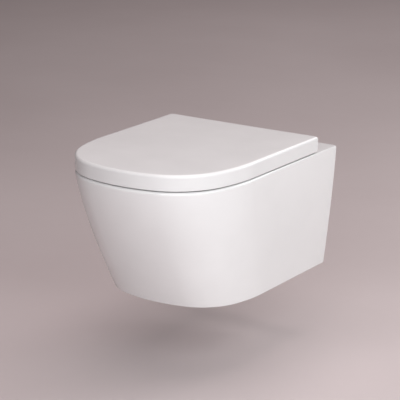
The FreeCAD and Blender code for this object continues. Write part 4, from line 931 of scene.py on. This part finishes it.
def seat():
    """A solid ring, dished towards its opening, with two hinge lugs behind."""
    outside = {**inset(RIM, SEAT_INSET), "rear": SEAT_REAR, "rear_corner": SEAT_CORNER}
    opening = {**inset(RIM, SEAT_INSET + SEAT_WIDTH), "rear": HOLE_REAR, "rear_corner": HOLE_CORNER}

    def across(share, z):
        return part_way(ring(outside, z), ring(opening, z), share)

    # share of the way from the outside to the opening, and how far the top drops there
    dish = (0.16, 0.12), (0.24, 0.02), (0.34, 0), (0.46, 0.1), (0.58, 0.4), (0.7, 0.95), (0.8, 1.6)
    profile = [(across(0, SEAT_BOTTOM), 2)]
    profile += [(across(0, z), 0) for z in (93, 99)]
    profile += [(across(0, SEAT_TOP - 0.4), 6)]
    profile += [(across(share, SEAT_TOP - drop), 0) for share, drop in dish]
    profile += [(across(1, SEAT_TOP - HOLE_DROP), 8)]
    profile += [(across(1, 93), 0), (across(1, SEAT_BOTTOM), 2)]
    profile += [(across(share, SEAT_BOTTOM), 0) for share in (0.85, 0.5, 0.15)]
    board = skin("seat_board", rounded(profile, closed=True), [DUROPLAST], capped=False)
    low, high = (-SEAT_REAR - LUG_WIDTH, AXIS_Z - 6), (AXIS_Y, SEAT_TOP - 0.8)
    for start in (SEAT_LUG, -SEAT_LUG - LUG_WIDTH):
        joined(board, lug(start, low, high), "UNION")
    joined(board, keyhole(SEAT_LUG, SEAT_LUG + LUG_WIDTH))
    joined(board, bush_hole(-SEAT_LUG - LUG_WIDTH, -SEAT_LUG))
    placed(board, "seat", "white_seat_plastic", "seat_ring")


# -------- hinges, buffers and seat studs

def hinge_block(side, label):
    """A hinge housing: barrel for the damper, socket for the stud, guide and recess for the button."""
    centre, middle = side * SEAT_X, (BLOCK_FRONT + BLOCK_REAR) / 2
    length = BLOCK_REAR - BLOCK_FRONT
    body = tablet("hinge_housing_" + label, BLOCK_HALF, length / 2, BLOCK_LOW, BLOCK_TOP, 3, 0.5, 3, SATIN)
    moved(body, (centre, middle, 0))
    inner, outer = SEAT_X - BLOCK_HALF, SEAT_X + BLOCK_HALF
    left, right = span(side, inner, outer)
    edge = [(BARREL - 0.6, 0), (BARREL - 0.18, 0.18), (BARREL, 0.6)]
    barrel = [(radius, left + along) for radius, along in edge]
    barrel += [(radius, right - along) for radius, along in reversed(edge)]
    joined(body, turned("barrel", barrel, "X", (0, AXIS_Y, AXIS_Z), SATIN, 96), "UNION")

    def pocket(half, low, high):
        return block("pocket", (centre - half, *low), (centre + half, *high), SATIN)

    stud = seat_place(side)
    slot_low, slot_high = LATCH_Z - CLIP_SLOT, LATCH_Z + CLIP_SLOT
    slide = SLIDER_THICK / 2 + SLIDER_PLAY
    cuts = [
        hinge_line("damper_bore", DAMPER_BORE, *span(side, inner + BLOCK_WALL, outer + 2), SATIN, 64),
        hinge_line("pin_hole", PIN_HOLE, *span(side, inner - 2, SEAT_X), SATIN),
        rod("post_socket", POST + FREE, DECK, POST_TOP + FREE, "Z", stud, SATIN),
        rod("flange_socket", FLANGE + FREE, DECK - 1, FLANGE_TOP + FREE, "Z", stud, SATIN),
        rod("clip_room", CLIP_ROOM, slot_low, slot_high, "Z", stud, SATIN),
        pocket(CLIP_ROOM, (SEAT_Y, slot_low), (SEAT_Y + CLIP_TAIL + CLIP_WIRE, slot_high)),
        pocket(SLIDER_HALF + SLIDER_PLAY, (SEAT_Y, LATCH_Z - slide), (BLOCK_REAR + 1, LATCH_Z + slide)),
        pocket(BUTTON_HALF + FREE, (RECESS, BUTTON_LOW - FREE), (BLOCK_REAR + 2, BUTTON_TOP + FREE)),
        rod("spring_pocket", SPRING_ROOM, BLOCK_REAR - SPRING_DEPTH, BLOCK_REAR + 1, "Y",
            (centre, 0, SPRING_Z), SATIN, 32),
    ]
    for tool in cuts:
        joined(body, tool)
    placed(body, "hinge_carriage", "white_hinge_plastic", "hinge_block_" + label)


def release_button(side, label, bars):
    """A button with grip bars on its face, and the tapered slider that spreads the latch clip."""
    middle, height = side * SEAT_X, (BUTTON_LOW + BUTTON_TOP) / 2
    inner = BLOCK_REAR - 1
    button = tablet("button_" + label, BUTTON_HALF, (BUTTON_TOP - BUTTON_LOW) / 2, 0, BUTTON_FACE - inner,
                    1.2, 0.2, 0.8, GREY)
    moved(button, (middle, inner, height), -90, "X")
    nose, shoulder = SEAT_Y + 10, SEAT_Y + 13
    right = [(SLIDER_TIP, nose), (SLIDER_HALF, shoulder), (SLIDER_HALF, inner + 1)]
    outline = [(-x, y) for x, y in reversed(right)] + right
    heights = LATCH_Z - SLIDER_THICK / 2, LATCH_Z + SLIDER_THICK / 2
    ends = [[Vector((middle + x, y, z)) for x, y in outline] for z in heights]
    joined(button, softened(skin("slider", ends, [GREY]), 0.25), "UNION")
    first = Vector((middle - GRIP_STEP * (GRIPS - 1) / 2, BUTTON_FACE - 0.05, height))
    grips = bars.made("grips", Count=GRIPS, First=first * MM, Step=ACROSS * GRIP_STEP * MM,
                      Half=UP * GRIP_HALF * MM, Radius=GRIP_RADIUS * MM, Finish=GREY)
    joined(button, grips, "UNION")
    placed(button, "release_button_" + label, "grey_button_plastic", "release_button_" + label)


def latch(side, label, spring):
    """The spring wire that grips the stud's groove, and the spring behind the button."""
    centre = Vector((side * SEAT_X, SEAT_Y, LATCH_Z))
    bend = [centre + CLIP_RADIUS * Vector((cos(a), sin(a), 0))
            for a in (pi + pi * n / 32 for n in range(33))]
    legs = [centre + Vector((x * CLIP_RADIUS, CLIP_TAIL, 0)) for x in (-1, 1)]
    rise = [legs[0].lerp(bend[0], share) for share in (0, 0.5)]
    fall = [bend[-1].lerp(legs[1], share) for share in (0.5, 1)]
    clip = swept("latch_wire_" + label, rise + bend + fall, UP, CLIP_WIRE / 2, STAINLESS, 20)
    softened(clip, 0.2, WIRE_FLAT)
    placed(clip, "hinge_carriage", "stainless_steel", "latch_clip_" + label)
    coil = spring.made("button_spring_" + label, Turns=SPRING_TURNS, Radius=SPRING_RADIUS * MM,
                       Wire=SPRING_WIRE * MM, Length=SPRING_LENGTH * MM, Finish=STAINLESS)
    moved(coil, (side * SEAT_X, SPRING_END, SPRING_Z), 90, "X")
    placed(coil, "hinge_carriage", "stainless_steel", "release_spring_" + label, angle=WIRE_FLAT)
    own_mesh(coil)


def seat_stud(side):
    """A stud with a threaded shank, a flange, and a grooved post with a key socket."""
    low, high = LATCH_Z - GROOVE_HALF, LATCH_Z + GROOVE_HALF
    rows = [(3.2, STUD_FOOT), (3.6, STUD_FOOT + 0.6), *thread(4, 0.55, 1.25, STUD_FOOT + 0.8, 72)]
    rows += [(4, FLANGE_TOP - 3), (FLANGE - 0.4, FLANGE_TOP - 3), (FLANGE, FLANGE_TOP - 2.6),
             (FLANGE, FLANGE_TOP - 0.6), (FLANGE - 0.2, FLANGE_TOP - 0.2),
             (FLANGE - 0.8, FLANGE_TOP), (POST, FLANGE_TOP)]
    rows += [(POST, low - 0.1), (POST - 0.1, low), (GROOVE, low), (GROOVE, high),
             (POST - 0.1, high), (POST, high + 0.1)]
    rows += [(POST, POST_TOP - 1.2), (POST - 0.3, POST_TOP - 0.5),
             (POST - 0.9, POST_TOP)]
    stud = turned("stud", rows, "Z", seat_place(side), STAINLESS, 48)
    key = [(hexagon(6), POST_TOP - 5), (hexagon(6), POST_TOP + 1)]
    return joined(stud, turned("key", key, "Z", seat_place(side), STAINLESS, 48))


def buffer_places(inwards):
    """Where the buffers sit: across, along and turn, for the right and the left side."""
    radius, turn = RIM["nose"] - inwards, 12
    across, along = radius * sin(radians(turn)), radius * cos(radians(turn))
    rear = RIM["half"] - inwards, -SEAT_REAR - inwards - 18, 0
    front = across, RIM["nose"] - RIM["front"] - along, turn - 90
    return [(side * x, y, side * angle) for x, y, angle in (rear, front) for side in (1, -1)]


def seat_buffers():
    """Oblong rubber feet with a shallow recess in the sole."""
    feet = []
    for x, y, turn in buffer_places(FEET_INSET):
        foot = tablet("seat_foot", 6, 18, DECK + FREE, SEAT_BOTTOM, 4, 1.2, 0.3, WHITE_RUBBER)
        sole = tablet("sole", 3.4, 15, DECK - 1, DECK + 0.9, 2.5, 0, 0.3, WHITE_RUBBER)
        feet.append(moved(joined(foot, sole), (x, y, 0), turn))
    placed(grouped("seat_feet", feet), "seat", "white_rubber", "seat_buffers")


def lid_buffers():
    """Round rubber pads with a rounded edge and a dimple."""
    low, high = SEAT_TOP + FREE, LID_INSIDE
    rows = [(0.4, low + 0.9), (2.2, low + 0.7), (3.2, low + 0.2), (3.8, low), (5.4, low), (6.2, low + 0.22),
            (6.78, low + 0.8), (7, low + 1.6), (7, high)]
    pads = [turned("pad", rows, "Z", (x, y, 0), WHITE_RUBBER, 40) for x, y, _ in buffer_places(PADS_INSET)]
    placed(grouped("lid_pads", pads), "lid", "white_rubber", "lid_buffers")


# -------- wall fixings and flush parts

def wall_fixings():
    """Brackets, nuts, washers and studs behind and under the china."""
    for label in ("left", "right"):
        bracket = softened(likeness("wall_bracket_" + label, "bracket_" + label, ZINC), 0.7)
        placed(bracket, "pan", "zinc_steel", "wall_bracket_" + label)
    studs = [(side * STUD_X, 0, 0) for side in (-1, 1)]
    bolts = [seat_place(side) for side in (-1, 1)]
    # nuts: across flats, both faces, bore and pitch. Washers: outside, bore and both faces
    for node, make, sizes, axis, places in (
        ("wall_nuts", nut, (19, -26.5, -16.5, 6.05, 1.75), "Y", studs),
        ("wall_washers", washer, (14, 6.5, -16.5, -14), "Y", studs),
        ("clamp_nuts", nut, (13, 41, 48, 4.05, 1.25), "Z", bolts),
        ("clamp_washers", washer, (10, 4.5, 48, 50), "Z", bolts),
    ):
        pieces = [make("fixing", *sizes, axis, place, ZINC) for place in places]
        placed(grouped("zinc_" + node, pieces), "pan", "zinc_steel", node)
    threaded = grouped("threaded_seat_studs", [seat_stud(side) for side in (-1, 1)])
    placed(threaded, "pan", "stainless_steel", "seat_studs")


def flush_parts():
    """The water splitter in the flush window, and the lipped seal in the inlet."""
    splitter = softened(likeness("flush_distributor", "water_splitter", SATIN), 0.5, steps=3)
    placed(splitter, "pan", "white_hinge_plastic", "flush_distributor")
    rows = [(SEAL_FLANGE - 0.8, -2), (SEAL_FLANGE, -2.8), (SEAL_FLANGE, -4.4), (SEAL_FLANGE - 0.6, -5),
            (SEAL, -5), (SEAL, -29), (SEAL - 1, -30), (SEAL_BORE + 1.6, -30)]
    for lip in (-25, -18, -11):
        rows += [(SEAL_BORE + 1.8, lip - 2.6), (SEAL_BORE, lip - 0.4), (SEAL_BORE, lip + 0.4),
                 (SEAL_BORE + 1.8, lip + 1)]
    rows += [(SEAL_BORE + 1.8, -5), (SEAL_BORE + 3, -2)]
    seal = turned("lipped_inlet_seal", rows, "Y", INLET, BLACK_RUBBER, 96, capped=False)
    placed(seal, "pan", "black_rubber", "inlet_seal")


def dress_plain_nodes():
    """Finishes for the small solids whose shape is right as it is."""
    for finish, nodes in (
        (SATIN, ("damper_caps",)),
        (NYLON, ("lid_damper", "seat_damper", "centring_sleeves", "seat_bush", "lid_bush")),
        (WHITE_RUBBER, ("stud_gaskets",)),
        (BLACK_RUBBER, ("bracket_pads",)),
        (STAINLESS, ("hinge_pins", "lid_damper_rotor", "seat_damper_rotor")),
    ):
        for node in nodes:
            for slot in bpy.data.objects[node].material_slots:
                slot.material = finish


pan()
lid()
seat()
BARS, SPRING = bars_tree(), spring_tree()
for side, label in ((-1, "left"), (1, "right")):
    hinge_block(side, label)
    release_button(side, label, BARS)
    latch(side, label, SPRING)
seat_buffers()
lid_buffers()
wall_fixings()
flush_parts()
dress_plain_nodes()


# -------- floor, light and camera

def aimed(name, data, place, target):
    """A new object that looks from its place at a target."""
    obj = linked(name, data)
    obj.location = Vector(place) * MM
    obj.rotation_euler = (Vector(place) - Vector(target)).to_track_quat("Z", "Y").to_euler()
    return obj


def soft_light(name, place, target, width, height, watts, colour=(1, 1, 1)):
    lamp = bpy.data.lights.new(name, "AREA")
    lamp.shape = "RECTANGLE"
    lamp.size, lamp.size_y = width * MM, height * MM
    lamp.energy, lamp.color = watts, colour
    aimed(name, lamp, place, target)


def studio():
    """A pale floor, soft light from all round, and a little from the air."""
    floor = block("floor", (-FLOOR_HALF, -FLOOR_HALF, FLOOR_Z - 20), (FLOOR_HALF, FLOOR_HALF, FLOOR_Z),
                  pale_floor())
    world = bpy.data.worlds.new("studio_air")
    world.use_nodes = True
    sky = world.node_tree.nodes["Background"]
    sky.inputs["Color"].default_value = (0.60, 0.50, 0.505, 1)
    sky.inputs["Strength"].default_value = 0.16
    bpy.context.scene.world = world
    middle, behind = (0, -270, -20), (-1000, 3400, FLOOR_Z)
    soft_light("front_softbox", (1400, -2280, 1121), middle, 2500, 1900, 45, (0.98, 0.985, 1))
    soft_light("right_softbox", (2364, -903, 1121), middle, 2400, 2000, 26, (0.95, 1, 1))
    soft_light("top_softbox", (100, -300, 2400), middle, 2200, 1600, 27, (1, 0.87, 0.87))
    soft_light("rear_softbox", (1350, 1900, 1500), middle, 1800, 1200, 20)
    soft_light("floor_softbox", (-1000, 3400, 2600), behind, 4500, 3000, 42, (1, 0.93, 0.93))
    bpy.context.scene.view_settings.view_transform = "Standard"


def camera():
    """The photograph's view of the object."""
    azimuth, elevation, distance = radians(34.547), radians(17.051), 3253.27
    target = Vector((0, -270, -42))
    back = Vector((sin(azimuth) * cos(elevation), -cos(azimuth) * cos(elevation),
                   sin(elevation)))
    lens = bpy.data.cameras.new("camera")
    lens.lens, lens.sensor_width = 147.19, 36
    lens.shift_x, lens.shift_y = 0.0261, 0.0535
    lens.clip_end = 100
    bpy.context.scene.camera = aimed("camera", lens, target + back * distance, target)


studio()
camera()
